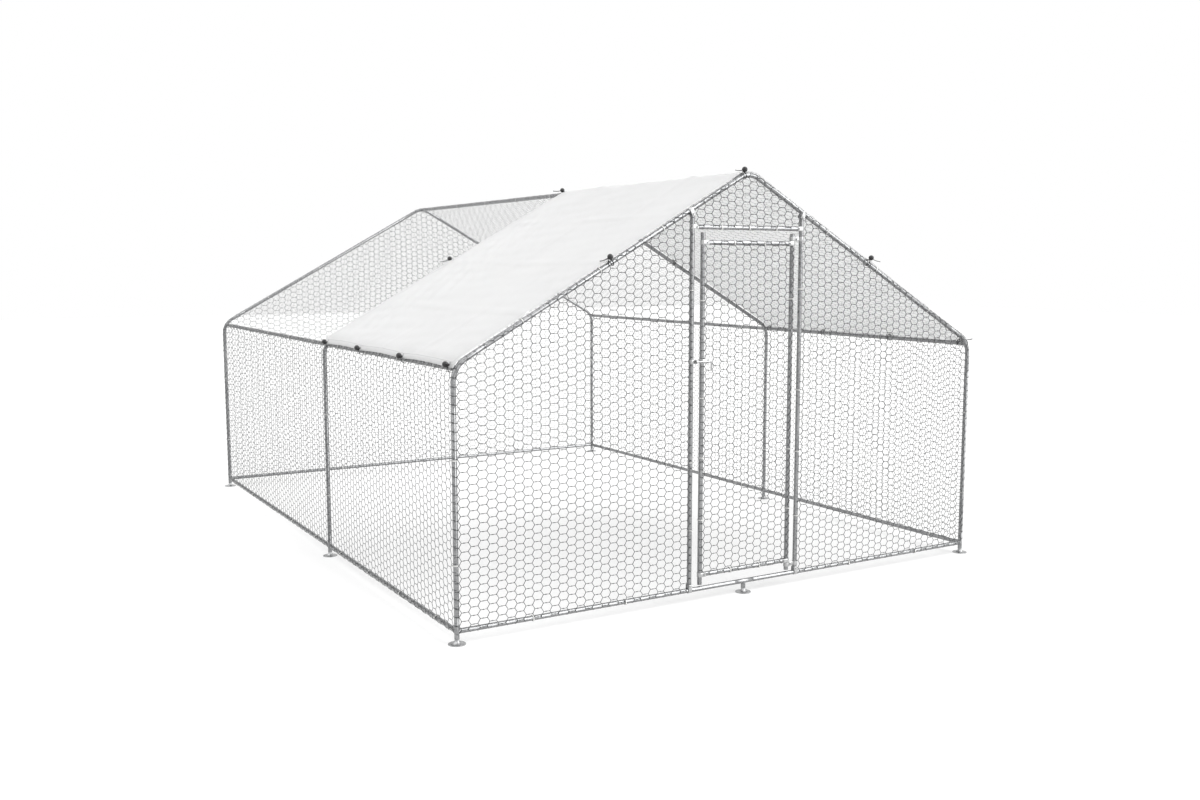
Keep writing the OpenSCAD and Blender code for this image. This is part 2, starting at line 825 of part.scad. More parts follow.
module net_ties() {
  bays = [[y_front, y_mid], [y_mid, y_rear]];
  post_start = tee_top + 2 * swage_taper;
  end_start = half_w - 2 * spigot_length;
  end_stop = door_post_x + 2 * spigot_length;
  color(white) {
    on_both() {
      for (y = [y_front, y_mid, y_rear]) {
        for (z = spaced(socket_low - post_start)) translate([-half_w, y, post_start + z]) net_tie();
        for (s = rafter_tie_shares)
          on_slope(y, rafter_start + s * (rafter_end - rafter_start)) along_x() net_tie();
      }
      for (bay = bays, d = spaced(bay[1] - bay[0])) {
        translate([-half_w, bay[0] + d, rail_height]) along_y() net_tie();
        translate([eave_seat[0], bay[0] + d, eave_seat[1]]) along_y() net_tie();
      }
      for (y = [y_front, y_rear], d = spaced(end_start - end_stop))
        translate([-end_start + d, y, rail_height]) along_x() net_tie();
      for (s = door_tie_shares)
        translate([-door_post_x, y_front, rail_height + s * (lintel_height - rail_height)]) net_tie();
    }
    for (bay = bays, d = spaced(bay[1] - bay[0]))
      translate([0, bay[0] + d, ridge_seat[1]]) along_y() net_tie();
    for (s = rail_tie_shares)
      translate([(2 * s - 1) * door_post_x, y_front, lintel_height]) along_x() net_tie();
  }
}

module door_net_ties() {
  color(white) {
    for (x = [stile_x, hinge_x], s = door_tie_shares)
      translate([x, y_front, door_rail_low + s * (door_rail_high - door_rail_low)]) net_tie();
    for (z = [door_rail_low, door_rail_high], s = tie_shares)
      translate([stile_x + s * (hinge_x - stile_x), y_front, z]) along_x() net_tie();
  }
}

// Cover over the first bay

// Line at distance off outside the frame's axes, from the left eave to the middle
function cover_side(off) =
  let (r = bend_radius + off, past = 180 * cover_lap / (PI * r))
  concat(
    [for (s = reverse(arc_shares))
      let (a = 180 - eave_turn + s * (eave_turn / 2 + past)) eave_centre + r * [cos(a), sin(a)]],
    [for (s = arc_shares) let (a = 90 + slope * (1 - s)) ridge_centre + r * [cos(a), sin(a)]]);

function cover_line(off) = let (left = cover_side(off)) concat(left, reverse([for (i = [0:len(left) - 2])
  [-left[i][0], left[i][1]]]));

// Puts the Z axis square to the cover at a point round the left eave bend, past its seat by an arc
module round_eave(y, arc) {
  a = 180 - eave_turn / 2 - 180 * arc / (PI * (bend_radius + cover_top));
  p = eave_centre + bend_radius * [cos(a), sin(a)];
  translate([p[0], y, p[1]]) rotate([0, 90 - a, 0]) children();
}

module round_ridge(y, arc) {
  a = 90 + 180 * arc / (PI * bend_radius);
  p = ridge_centre + bend_radius * [cos(a), sin(a)];
  translate([p[0], y, p[1]]) rotate([0, 90 - a, 0]) children();
}

// Depths of the ties along an eave
eave_tie_y = concat([y_front + tie_inset, y_mid - tie_inset],
  [for (s = tie_shares) y_front + s * front_bay]);
rafter_tie_d = rafter_span / 2;

// Repeats a shape at every eyelet
module at_eyelets() {
  on_both() {
    for (y = eave_tie_y) round_eave(y, eyelet_in) children();
    on_slope(y_front + eyelet_in, rafter_tie_d) children();
    on_slope(y_mid - eyelet_in, rafter_tie_d) children();
  }
  round_ridge(y_front + eyelet_in, ridge_tie_x) children();
  round_ridge(y_mid - eyelet_in, ridge_tie_x) children();
}

module cover() {
  color(white) difference() {
    gable(y_mid + cover_lap) linear_extrude(front_bay + 2 * cover_lap)
      polygon(concat(cover_line(cover_top), reverse(cover_line(cover_off))));
    at_eyelets() translate([0, 0, cover_off - overrun])
      cylinder(h = cover_t + 2 * overrun, d = eyelet_d + 2 * (eyelet_t + fit_gap));
  }
}

module eyelet() {
  inner = eyelet_d / 2;
  rotate_extrude() polygon([
    [inner, cover_off], [inner + eyelet_t, cover_off], [inner + eyelet_t, eyelet_base],
    [eyelet_rim_d / 2, eyelet_base], [eyelet_rim_d / 2, eyelet_base + eyelet_t],
    [inner, eyelet_base + eyelet_t]
  ]);
}

module eyelets() {
  color(zinc) at_eyelets() eyelet();
}

// Elastic tie round a tube along Z: a band of two strands, a ball towards +X and the loop's free end
module cover_tie() {
  rotate_extrude() translate([tie_in, -tie_d]) square([tie_d, 2 * tie_d]);
  translate([tie_ball_x, 0, 0]) sphere(d = tie_ball_d);
  translate([tie_ball_x, 0, -tie_tail]) cylinder(h = tie_tail, d = tie_d);
}

// Tie round a rafter, leaning over the cover's edge towards -Y or +Y
module rafter_tie(way) {
  rotate([0, 90, 0]) rotate([0, 0, 180 - way * (90 - tie_lean)]) cover_tie();
}

module cover_ties() {
  color(black) {
    on_both() {
      for (y = eave_tie_y) translate([eave_seat[0], y, eave_seat[1]]) along_y()
        rotate([0, 0, 180 + eave_turn / 2]) cover_tie();
      on_slope(y_front, rafter_tie_d) rafter_tie(-1);
      on_slope(y_mid, rafter_tie_d) rafter_tie(1);
    }
    round_ridge(y_front, ridge_tie_x) rafter_tie(-1);
    round_ridge(y_mid, ridge_tie_x) rafter_tie(1);
  }
}

post(y_front, false);  // post_front_left
post(y_front, true);  // post_front_right
post(y_mid, false);  // post_mid_left
post(y_mid, true);  // post_mid_right
post(y_rear, false);  // post_rear_left
post(y_rear, true);  // post_rear_right
rafter(y_front, false);  // rafter_front_left
rafter(y_front, true);  // rafter_front_right
rafter(y_mid, false);  // rafter_mid_left
rafter(y_mid, true);  // rafter_mid_right
rafter(y_rear, false);  // rafter_rear_left
rafter(y_rear, true);  // rafter_rear_right
eave_elbows_corner();
eave_elbows_mid();
ridge_elbows();
ridge_purlin(y_front, y_mid);  // ridge_purlin_front
ridge_purlin(y_mid, y_rear);  // ridge_purlin_rear
eave_rail(y_front, y_mid, false);  // eave_rail_front_left
eave_rail(y_front, y_mid, true);  // eave_rail_front_right
eave_rail(y_mid, y_rear, false);  // eave_rail_rear_left
eave_rail(y_mid, y_rear, true);  // eave_rail_rear_right
base_rail(y_front, y_mid, false);  // base_rail_front_left
base_rail(y_front, y_mid, true);  // base_rail_front_right
base_rail(y_mid, y_rear, false);  // base_rail_rear_left
base_rail(y_mid, y_rear, true);  // base_rail_rear_right
end_base_rails(y_front);  // front_base_rails
end_base_rails(y_rear);  // rear_base_rails
base_tees_corner();
base_tees_mid();
base_tees_centre();
feet();
door_post(false);  // door_post_left
door_post(true);  // door_post_right
lintel();
frame_straps();
frame_bolts();
hinge_clamps();
latch_keeper();
side_net(false);  // side_net_left
side_net(true);  // side_net_right
rear_net();
front_net();
roof_net(false);  // roof_net_left
roof_net(true);  // roof_net_right
net_ties();
cover();
eyelets();
cover_ties();
stile(stile_x);  // latch_stile
stile(hinge_x);  // hinge_stile
door_rail(door_rail_high);  // door_top_rail
door_rail(door_rail_low);  // door_bottom_rail
door_straps();
door_bolts();
latch_guide();
door_net();
door_net_ties();
latch_bolt();
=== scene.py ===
import math

import bmesh
import bpy
import numpy as np
from mathutils import Matrix, Vector


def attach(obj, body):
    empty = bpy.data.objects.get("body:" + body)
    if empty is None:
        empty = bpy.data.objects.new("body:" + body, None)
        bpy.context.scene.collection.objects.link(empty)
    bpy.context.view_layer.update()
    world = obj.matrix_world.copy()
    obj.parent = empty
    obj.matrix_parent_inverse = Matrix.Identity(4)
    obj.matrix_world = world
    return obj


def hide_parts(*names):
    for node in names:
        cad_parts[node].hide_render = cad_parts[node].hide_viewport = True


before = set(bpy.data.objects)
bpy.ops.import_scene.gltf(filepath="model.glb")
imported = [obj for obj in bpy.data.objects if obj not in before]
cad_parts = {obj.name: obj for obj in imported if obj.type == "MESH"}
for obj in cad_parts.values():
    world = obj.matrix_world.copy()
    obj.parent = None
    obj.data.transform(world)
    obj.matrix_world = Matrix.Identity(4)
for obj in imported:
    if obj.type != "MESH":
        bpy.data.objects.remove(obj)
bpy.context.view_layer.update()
print("frame loaded with", len(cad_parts), "nodes")

# Main sizes of the run in metres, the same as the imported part's
run = {
    "halfWidth": 1.5, "front": -2.0, "mid": -0.3, "rear": 2.0, "eave": 1.16, "ridge": 2.0,
    "tube": 0.011, "wall": 0.001, "bend": 0.11, "leg": 0.1, "spigot": 0.06, "taper": 0.002,
    "fit": 0.0003, "butt": 0.0006, "baseRail": 0.055, "teeBottom": 0.022, "teeTop": 0.112,
}
gables = [run["front"], run["mid"], run["rear"]]
front, mid, rear = gables
bays = [(front, mid), (mid, rear)]
tubeR = run["tube"]
spigotR = tubeR - run["wall"] - run["fit"]
slope = math.atan((run["ridge"] - run["eave"]) / run["halfWidth"])
eaveTurn = math.pi / 2 - slope
eaveTangent = run["bend"] * math.tan(eaveTurn / 2)
ridgeTangent = run["bend"] * math.tan(slope)
rafterSpan = run["halfWidth"] / math.cos(slope)
uphill = Vector((math.cos(slope), 0, math.sin(slope)))
eaveCorner = Vector((-run["halfWidth"], 0, run["eave"]))
eaveCentre = eaveCorner + Vector((run["bend"], 0, -eaveTangent))
seatAngle = math.pi - eaveTurn / 2
eaveSeat = eaveCentre + run["bend"] * Vector((math.cos(seatAngle), 0, math.sin(seatAngle)))
ridgeCentre = Vector((0, 0, run["ridge"] - run["bend"] / math.cos(slope)))
ridgeSeat = ridgeCentre + Vector((0, 0, run["bend"]))
socketLow = run["eave"] - eaveTangent - run["leg"]
rafterStart = eaveTangent + run["leg"] + run["taper"]
rafterEnd = rafterSpan - ridgeTangent - run["leg"]
slopeStraight = rafterSpan - eaveTangent - ridgeTangent
touching = 1e-5  # points closer than this are taken as one place
tiny = 1e-6  # merges doubled points and guards against rounding
facing = 0.9  # a face looks along an axis when its normal has more than this of it


# Places

def move(x, y, z):
    return Matrix.Translation((x, y, z))


def turn(degrees, axis):
    return Matrix.Rotation(math.radians(degrees), 4, axis)


alongX = turn(90, "Y")
alongY = turn(-90, "X")
asDrawn = Matrix.Identity(4)
mirrorX = Matrix.Scale(-1, 4, (1, 0, 0))
bothSides = (("left", asDrawn), ("right", mirrorX))


def mirrored(places):
    return places + [mirrorX @ place for place in places]


def atFront(x, z):
    return move(x, front, z)


def onSlope(y, distance):
    # square to the left slope, that far up the rafter from the eave corner
    spot = eaveCorner + distance * uphill
    return move(spot.x, y, spot.z) @ Matrix.Rotation(-slope, 4, "Y")


def roundBend(centre, angle, y):
    # square to a bend's centreline
    spot = centre + run["bend"] * Vector((math.cos(angle), 0, math.sin(angle)))
    return move(spot.x, y, spot.z) @ Matrix.Rotation(math.pi / 2 - angle, 4, "Y")


# Modelling helpers

def letGo():
    if bpy.context.mode != "OBJECT":
        bpy.ops.object.mode_set(mode="OBJECT")
    bpy.ops.object.select_all(action="DESELECT")


def work(piece):
    letGo()
    piece.select_set(True)
    bpy.context.view_layer.objects.active = piece


def edit(piece):
    work(piece)
    bpy.ops.object.mode_set(mode="EDIT")


def done():
    # the next piece starts with its points selected
    bpy.ops.mesh.select_mode(type="VERT")
    bpy.ops.object.mode_set(mode="OBJECT")


def pick(piece, test, kind="VERT"):
    # selects by place, in edit mode
    bpy.ops.mesh.select_mode(type=kind)
    bpy.ops.mesh.select_all(action="DESELECT")
    shape = bmesh.from_edit_mesh(piece.data)
    for part in shape.faces if kind == "FACE" else shape.verts:
        part.select_set(bool(test(part)))
    shape.select_flush_mode()
    bmesh.update_edit_mesh(piece.data)


def pull(x, y, z):
    bpy.ops.mesh.extrude_region_move(TRANSFORM_OT_translate={"value": (x, y, z)})


def sweep(angle, centre, axis, steps):
    # with no window, spin turns the other way
    bpy.ops.mesh.spin(steps=steps, angle=-angle, center=centre, axis=axis)


def drawUp(radius, steps):
    # pulls a ring up along Z, by rises with the radius reached at each
    height = 0.0
    for rise, wide in steps:
        pull(0, 0, rise)
        height += rise
        if wide != radius:
            bpy.ops.transform.resize(value=(wide / radius, wide / radius, 1), center_override=(0, 0, height))
            radius = wide


def faceOut(piece):
    edit(piece)
    bpy.ops.mesh.select_all(action="SELECT")
    bpy.ops.mesh.remove_doubles(threshold=tiny)
    bpy.ops.mesh.normals_make_consistent(inside=False)
    done()


def applyStep(piece, kind, **settings):
    work(piece)
    bpy.ops.object.modifier_add(type=kind)
    step = piece.modifiers[-1]
    for key, value in settings.items():
        setattr(step, key, value)
    bpy.ops.object.modifier_apply(modifier=step.name)


def thicken(piece, wall, offset=-1.0):
    applyStep(piece, "SOLIDIFY", thickness=wall, offset=offset, use_even_offset=True)


def softenEdges(piece, width, segments=2, angle=40):
    applyStep(piece, "BEVEL", width=width, segments=segments, limit_method="ANGLE",
              angle_limit=math.radians(angle))


def smooth(piece, angle=38):
    work(piece)
    bpy.ops.object.shade_smooth_by_angle(angle=math.radians(angle))


def settle(piece):
    # leaves the object at the origin with its place in its mesh
    work(piece)
    bpy.ops.object.transform_apply(location=True, rotation=True, scale=True)


def put(piece, place):
    piece.matrix_world = place
    settle(piece)
    return piece


def startRing(sides, radius, place=asDrawn, fill="NOTHING"):
    # a ring with all of it selected in edit mode
    letGo()
    bpy.ops.mesh.primitive_circle_add(vertices=sides, radius=radius, fill_type=fill, location=(0, 0, 0))
    piece = put(bpy.context.object, place)
    edit(piece)
    bpy.ops.mesh.select_all(action="SELECT")
    return piece


def drawCylinder(sides, radius, height):
    letGo()
    bpy.ops.mesh.primitive_cylinder_add(vertices=sides, radius=radius, depth=height, location=(0, 0, height / 2))
    piece = bpy.context.object
    settle(piece)
    return piece


def drawBox(size, spot):
    letGo()
    bpy.ops.mesh.primitive_cube_add(size=1, location=spot)
    piece = bpy.context.object
    piece.scale = size
    settle(piece)
    return piece


def finishShell(piece, wall=run["wall"], offset=-1.0, angle=38):
    done()
    faceOut(piece)
    thicken(piece, wall, offset)
    smooth(piece, angle)
    return piece


def join(pieces, name):
    letGo()
    for piece in pieces:
        piece.select_set(True)
    bpy.context.view_layer.objects.active = pieces[0]
    if len(pieces) > 1:
        bpy.ops.object.join()
    pieces[0].name = name
    pieces[0].data.name = name
    return pieces[0]


def copyAt(pattern, place, name="copy"):
    shape = pattern.data.copy()
    shape.transform(place)
    if place.determinant() < 0:
        shape.flip_normals()
    piece = bpy.data.objects.new(name, shape)
    bpy.context.scene.collection.objects.link(piece)
    return piece


def repeat(pattern, places, name):
    return join([copyAt(pattern, place) for place in places], name)


def drop(*patterns):
    for pattern in patterns:
        bpy.data.objects.remove(pattern)


def hand(piece, material, body, slot, *nodes):
    # finish, body and the nodes that the piece stands for
    piece.data.materials.clear()
    piece.data.materials.append(material)
    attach(piece, body)
    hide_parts(*nodes)


# Finishes

def newFinish(name):
    finish = bpy.data.materials.new(name)
    finish.use_nodes = True
    tree = finish.node_tree
    return finish, tree, tree.nodes["Principled BSDF"]


def feed(tree, node, inputs):
    # each input is a constant or the output that leads into it
    for key, value in inputs.items():
        if isinstance(value, bpy.types.NodeSocket):
            tree.links.new(value, node.inputs[key])
        else:
            node.inputs[key].default_value = value


def addNode(tree, kind, inputs=None, **settings):
    node = tree.nodes.new(kind)
    for key, value in settings.items():
        setattr(node, key, value)
    feed(tree, node, inputs or {})
    return node


def reckon(tree, operation, *terms):
    return addNode(tree, "ShaderNodeMath", dict(enumerate(terms)), operation=operation).outputs["Value"]


def addNoise(tree, place, scale, detail, roughness=0.5):
    return addNode(tree, "ShaderNodeTexNoise", {"Vector": place, "Scale": scale, "Detail": detail,
                                                "Roughness": roughness}).outputs["Fac"]


def addMix(tree, share, first, second):
    return addNode(tree, "ShaderNodeMix", {"Factor": share, "A": first, "B": second},
                   data_type="FLOAT").outputs["Result"]


def addRamp(tree, source, spots, shades):
    ramp = addNode(tree, "ShaderNodeValToRGB", {"Fac": source})
    while len(ramp.color_ramp.elements) < len(spots):
        ramp.color_ramp.elements.new(0.5)
    for element, spot, shade in zip(ramp.color_ramp.elements, spots, shades):
        element.position = spot
        element.color = (*shade, 1) if hasattr(shade, "__len__") else (shade, shade, shade, 1)
    return ramp.outputs["Color"]


def addBump(tree, shader, height, strength, distance):
    bumps = addNode(tree, "ShaderNodeBump", {"Strength": strength, "Distance": distance, "Height": height})
    feed(tree, shader, {"Normal": bumps.outputs["Normal"]})


zinc = {"toneSpots": (0.2, 0.8), "glossSpots": (0.25, 0.75), "cloudDetail": 4.0, "cloudRough": 0.6,
        "grainDetail": 3.0, "scratch": 0.0004}


def steelFinish(name, look):
    # zinc spangle over slow cloudy patches, with fine scratches in the gloss
    finish, tree, shader = newFinish(name)
    place = addNode(tree, "ShaderNodeTexCoord").outputs["Object"]
    spangle = addNode(tree, "ShaderNodeTexVoronoi", {"Vector": place, "Scale": look["spangle"], "Randomness": 1.0})
    cloud = addNoise(tree, place, look["cloud"], zinc["cloudDetail"], zinc["cloudRough"])
    grain = addNoise(tree, place, look["grain"], zinc["grainDetail"])
    cells = addNode(tree, "ShaderNodeRGBToBW", {"Color": spangle.outputs["Color"]}).outputs["Val"]
    mix = addMix(tree, look["cloudShare"], cells, cloud)
    addBump(tree, shader, grain, look["bump"], zinc["scratch"])
    feed(tree, shader, {"Base Color": addRamp(tree, mix, zinc["toneSpots"], (look["dark"], look["light"])),
                        "Roughness": addRamp(tree, mix, zinc["glossSpots"], (look["smooth"], look["rough"])),
                        "Metallic": look["metal"]})
    return finish


nylon = {"cloud": 160.0, "cloudDetail": 3.0, "pits": 2600.0, "pitDetail": 2.0, "spots": (0.3, 0.7),
         "gloss": (0.32, 0.48), "bump": 0.12, "pitDepth": 0.0002}


def nylonFinish(name, dark, light):
    finish, tree, shader = newFinish(name)
    place = addNode(tree, "ShaderNodeTexCoord").outputs["Object"]
    cloud = addNoise(tree, place, nylon["cloud"], nylon["cloudDetail"])
    pits = addNoise(tree, place, nylon["pits"], nylon["pitDetail"])
    addBump(tree, shader, pits, nylon["bump"], nylon["pitDepth"])
    feed(tree, shader, {"Base Color": addRamp(tree, cloud, nylon["spots"], (dark, light)),
                        "Roughness": addRamp(tree, cloud, nylon["spots"], nylon["gloss"])})
    return finish


def weaveFinish(name, look):
    # flat plastic tapes woven over and under
    finish, tree, shader = newFinish(name)
    flat = addNode(tree, "ShaderNodeUVMap", uv_map="flat").outputs["UV"]
    tape = {"Vector": flat, "Scale": look["tape"], "Distortion": look["tapeWander"], "Detail": 1.0}
    tapes = [addNode(tree, "ShaderNodeTexWave", tape, wave_type="BANDS", bands_direction=direction).outputs["Fac"]
             for direction in ("X", "Y")]
    weave = reckon(tree, "MULTIPLY", *tapes)
    cloud = addNoise(tree, flat, look["cloud"], look["cloudDetail"], look["cloudRough"])
    mix = addMix(tree, look["cloudShare"], weave, cloud)
    tone = addRamp(tree, mix, look["toneSpots"], (look["dark"], look["light"]))
    # the way in from the nearest edge gives the weld that closes the hem
    spot = addNode(tree, "ShaderNodeSeparateXYZ", {"Vector": flat}).outputs
    fromSide = reckon(tree, "SUBTRACT", look["half"], reckon(tree, "ABSOLUTE", spot["X"]))
    fromBack = reckon(tree, "SUBTRACT", look["length"], spot["Y"])
    wayIn = reckon(tree, "MINIMUM", fromSide, reckon(tree, "MINIMUM", spot["Y"], fromBack))
    hemShare = reckon(tree, "DIVIDE", wayIn, 2 * look["hem"])
    weld = addRamp(tree, hemShare, look["weldSpots"], look["weld"])
    seamed = addNode(tree, "ShaderNodeVectorMath", {0: tone, 1: weld}, operation="MULTIPLY")
    addBump(tree, shader, weave, look["bump"], look["relief"])
    feed(tree, shader, {"Base Color": seamed.outputs["Vector"],
                        "Roughness": addRamp(tree, cloud, look["glossSpots"], look["gloss"]),
                        "Subsurface Weight": look["glow"], "Subsurface Radius": (1, 1, 1),
                        "Subsurface Scale": look["depth"]})
    return finish


tubeLook = {"spangle": 130.0, "cloud": 9.0, "grain": 900.0, "cloudShare": 0.45, "dark": (0.19, 0.193, 0.198),
            "light": (0.345, 0.348, 0.351), "smooth": 0.22, "rough": 0.36, "bump": 0.08, "metal": 0.9}
footLook = dict(tubeLook, dark=(0.3, 0.303, 0.308), light=(0.48, 0.483, 0.486), rough=0.45)
plateLook = {"spangle": 420.0, "cloud": 30.0, "grain": 1600.0, "cloudShare": 0.7, "dark": (0.36, 0.364, 0.368),
             "light": (0.58, 0.582, 0.58), "smooth": 0.26, "rough": 0.42, "bump": 0.06, "metal": 0.75}
wireLook = {"spangle": 260.0, "cloud": 14.0, "grain": 1200.0, "cloudShare": 0.6, "dark": (0.045, 0.047, 0.05),
            "light": (0.11, 0.113, 0.116), "smooth": 0.36, "rough": 0.52, "bump": 0.05, "metal": 0.6}
# the roof netting is the same wire painted lighter: painted light, so that it stays pale against the lit underside
# of the cover
litRoofLook = dict(wireLook, dark=(0.18, 0.182, 0.185), light=(0.36, 0.363, 0.366))
tubeSteel = steelFinish("galvanisedTube", tubeLook)
footSteel = steelFinish("galvanisedFoot", footLook)
zincPlate = steelFinish("zincPlate", plateLook)
netWire = steelFinish("nettingWire", wireLook)
litRoofWire = steelFinish("litRoofWire", litRoofLook)
blackNylon = nylonFinish("blackNylon", (0.008, 0.008, 0.009), (0.022, 0.022, 0.023))
whiteNylon = nylonFinish("whiteNylon", (0.74, 0.74, 0.72), (0.86, 0.86, 0.85))
print("finishes made")

# Tubes

tubeMake = {"sides": 28, "bendSteps": 14}


def drawTube(radius, steps, wall=run["wall"], sides=tubeMake["sides"]):
    piece = startRing(sides, radius)
    drawUp(radius, steps)
    return finishShell(piece, wall)


def drawPlainTube(length, radius=tubeR, wall=run["wall"], sides=tubeMake["sides"]):
    return drawTube(radius, [(length, radius)], wall, sides)


def handTube(piece, node, body="frame"):
    hand(piece, tubeSteel, body, "tube_steel", node)


def layTube(pattern, place, node, body="frame"):
    handTube(copyAt(pattern, place, node + "_tube"), node, body)


swage = [(run["taper"], spigotR), (run["spigot"], spigotR)]
postLength = socketLow - run["teeTop"] - 2 * run["taper"]
rafterLength = rafterEnd - rafterStart - run["taper"]
postPattern = drawTube(tubeR, [(postLength, tubeR)] + swage)
rafterPattern = drawTube(tubeR, [(rafterLength, tubeR)] + swage)
for row, y in zip(("front", "mid", "rear"), gables):
    for side, flip in bothSides:
        postSpot = move(-run["halfWidth"], y, run["teeTop"] + run["taper"])
        layTube(postPattern, flip @ postSpot, f"post_{row}_{side}")
        layTube(rafterPattern, flip @ onSlope(y, rafterStart) @ alongX, f"rafter_{row}_{side}")

railInset = tubeR + run["butt"]
for bay, (yStart, yEnd) in zip(("front", "rear"), bays):
    railPattern = drawPlainTube(yEnd - yStart - 2 * railInset)
    lines = [("ridge_purlin_" + bay, 0, ridgeSeat.z)]
    for side, sign in (("left", 1), ("right", -1)):
        lines.append((f"eave_rail_{bay}_{side}", sign * eaveSeat.x, eaveSeat.z))
        lines.append((f"base_rail_{bay}_{side}", -sign * run["halfWidth"], run["baseRail"]))
    for node, x, z in lines:
        layTube(railPattern, move(x, yStart + railInset, z) @ alongY, node)
    drop(railPattern)

sleeve = {"half": 0.055}
endStart = run["halfWidth"] - railInset
endPattern = drawPlainTube(endStart - sleeve["half"] - run["taper"])
for node, y in (("front_base_rails", front), ("rear_base_rails", rear)):
    endPlaces = mirrored([move(-endStart, y, run["baseRail"]) @ alongX])
    handTube(repeat(endPattern, endPlaces, node + "_tubes"), node)
drop(postPattern, rafterPattern, endPattern)
print("straight tubes drawn")


# Elbows and tees

def drawEaveElbow():
    piece = startRing(tubeMake["sides"], tubeR, move(-run["halfWidth"], 0, socketLow))
    pull(0, 0, run["leg"])
    sweep(eaveTurn, eaveCentre, (0, 1, 0), tubeMake["bendSteps"])
    pull(*(run["leg"] * uphill))
    pull(*(run["taper"] * uphill))
    tip = eaveCorner + rafterStart * uphill
    bpy.ops.transform.resize(value=[spigotR / tubeR] * 3, center_override=tip)
    pull(*(run["spigot"] * uphill))
    return finishShell(piece)


def drawRidgeElbow():
    piece = startRing(tubeMake["sides"], tubeR)
    pull(0, 0, run["leg"])
    sweep(2 * slope, (run["bend"], 0, run["leg"]), (0, 1, 0), tubeMake["bendSteps"])
    pull(math.sin(2 * slope) * run["leg"], 0, math.cos(2 * slope) * run["leg"])
    finishShell(piece)
    start = Vector((0, 0, run["ridge"])) - (ridgeTangent + run["leg"]) * uphill
    return put(piece, move(*start) @ Matrix.Rotation(math.pi / 2 - slope, 4, "Y"))


stubPattern = drawPlainTube(tubeR + run["spigot"], spigotR)


def drawJoints(node, name, pattern, spot, seat, rows, flips=(asDrawn, mirrorX)):
    # the pattern in each row, with the stubs that its rails slide on
    made = []
    for y, stubs in rows:
        for flip in flips:
            made.append(copyAt(pattern, flip @ move(spot[0], y, spot[1])))
            made += [copyAt(stubPattern, flip @ move(seat[0], y, seat[1]) @ way) for way in stubs]
    handTube(join(made, name), node)


eavePattern = drawEaveElbow()
ridgePattern = drawRidgeElbow()
teePattern = drawTube(tubeR, [(run["teeTop"] - run["teeBottom"], tubeR)] + swage)
ahead, back = alongY, turn(90, "X")
inwards, teeAhead, teeBack = (turn(way, "Z") @ alongX for way in (0, 90, -90))
home = (0, 0)
eaveSpot = (eaveSeat.x, eaveSeat.z)
teeSpot = (-run["halfWidth"], run["teeBottom"])
baseSpot = (-run["halfWidth"], run["baseRail"])
drawJoints("eave_elbows_corner", "eave_elbows_corner_bent", eavePattern, home, eaveSpot,
           [(front, [ahead]), (rear, [back])])
drawJoints("eave_elbows_mid", "eave_elbows_mid_bent", eavePattern, home, eaveSpot, [(mid, [ahead, back])])
drawJoints("ridge_elbows", "ridge_elbows_bent", ridgePattern, home, (0, ridgeSeat.z),
           [(front, [ahead]), (mid, [ahead, back]), (rear, [back])], [asDrawn])
drawJoints("base_tees_corner", "base_tees_corner_sleeves", teePattern, teeSpot, baseSpot,
           [(front, [inwards, teeAhead]), (rear, [inwards, teeBack])])
drawJoints("base_tees_mid", "base_tees_mid_sleeves", teePattern, teeSpot, baseSpot, [(mid, [teeAhead, teeBack])])

crossSteps = [(run["spigot"], spigotR), (run["taper"], tubeR), (2 * sleeve["half"], tubeR)] + swage
crossPattern = drawTube(spigotR, crossSteps)
legPattern = drawPlainTube(run["baseRail"] - run["teeBottom"])
crossStart = -sleeve["half"] - run["taper"] - run["spigot"]
made = [copyAt(crossPattern, move(crossStart, y, run["baseRail"]) @ alongX) for y in (front, rear)]
made.append(copyAt(legPattern, atFront(0, run["teeBottom"])))
handTube(join(made, "base_tees_centre_sleeves"), "base_tees_centre")
drop(stubPattern, eavePattern, ridgePattern, teePattern, crossPattern, legPattern)
print("elbows and tees drawn")

# Feet: a flat plate with a flared neck and a stem inside the tee

foot = {"plateR": 0.038, "rim": 0.003, "lip": 0.0006, "lipIn": 0.0008, "flareR": 0.033, "flare": 0.017,
        "flareSteps": 8, "stemTop": 0.046, "sides": 36, "crisp": 30}


def drawFoot():
    rise = foot["rim"]
    profile = [(foot["plateR"], 0.0), (foot["plateR"], rise - foot["lip"]), (foot["plateR"] - foot["lipIn"], rise),
               (foot["flareR"], rise)]
    for step in range(1, foot["flareSteps"] + 1):
        angle = step / foot["flareSteps"] * math.pi / 2
        wide = spigotR + (foot["flareR"] - spigotR) * (1 - math.sin(angle))
        profile.append((wide, rise + foot["flare"] * (1 - math.cos(angle))))
    profile.append((spigotR, foot["stemTop"]))
    piece = startRing(foot["sides"], foot["plateR"], fill="NGON")
    drawUp(foot["plateR"], [(high - low, wide) for (_, low), (wide, high) in zip(profile, profile[1:])])
    done()
    faceOut(piece)
    smooth(piece, foot["crisp"])
    return piece


footPattern = drawFoot()
footSpots = [(sign * run["halfWidth"], y) for y in gables for sign in (-1, 1)] + [(0, front)]
hand(repeat(footPattern, [move(x, y, 0) for x, y in footSpots], "feet_flared"), footSteel, "frame", "foot_steel",
     "feet")
drop(footPattern)
print("feet drawn")

# Door posts, lintel and the door's own tubes

door = {"post": 0.32, "hinge": 0.265, "latch": -0.26, "lintel": 1.742, "low": 0.122, "high": 1.672,
        "stileLow": 0.074, "stileHigh": 1.718}
strap = {"inner": 0.0113, "thick": 0.002, "wide": 0.02, "drop": 0.02, "leg": 0.028, "edge": 0.0004, "bendSteps": 16}
strapMid = strap["inner"] + strap["thick"] / 2
strapOut = strap["inner"] + strap["thick"]


def shapeEnds(piece, newPlace):
    # moves each point of the ends, to fit round the tube that it meets
    for point in piece.data.vertices:
        point.co = newPlace(point.co.copy())
    return piece


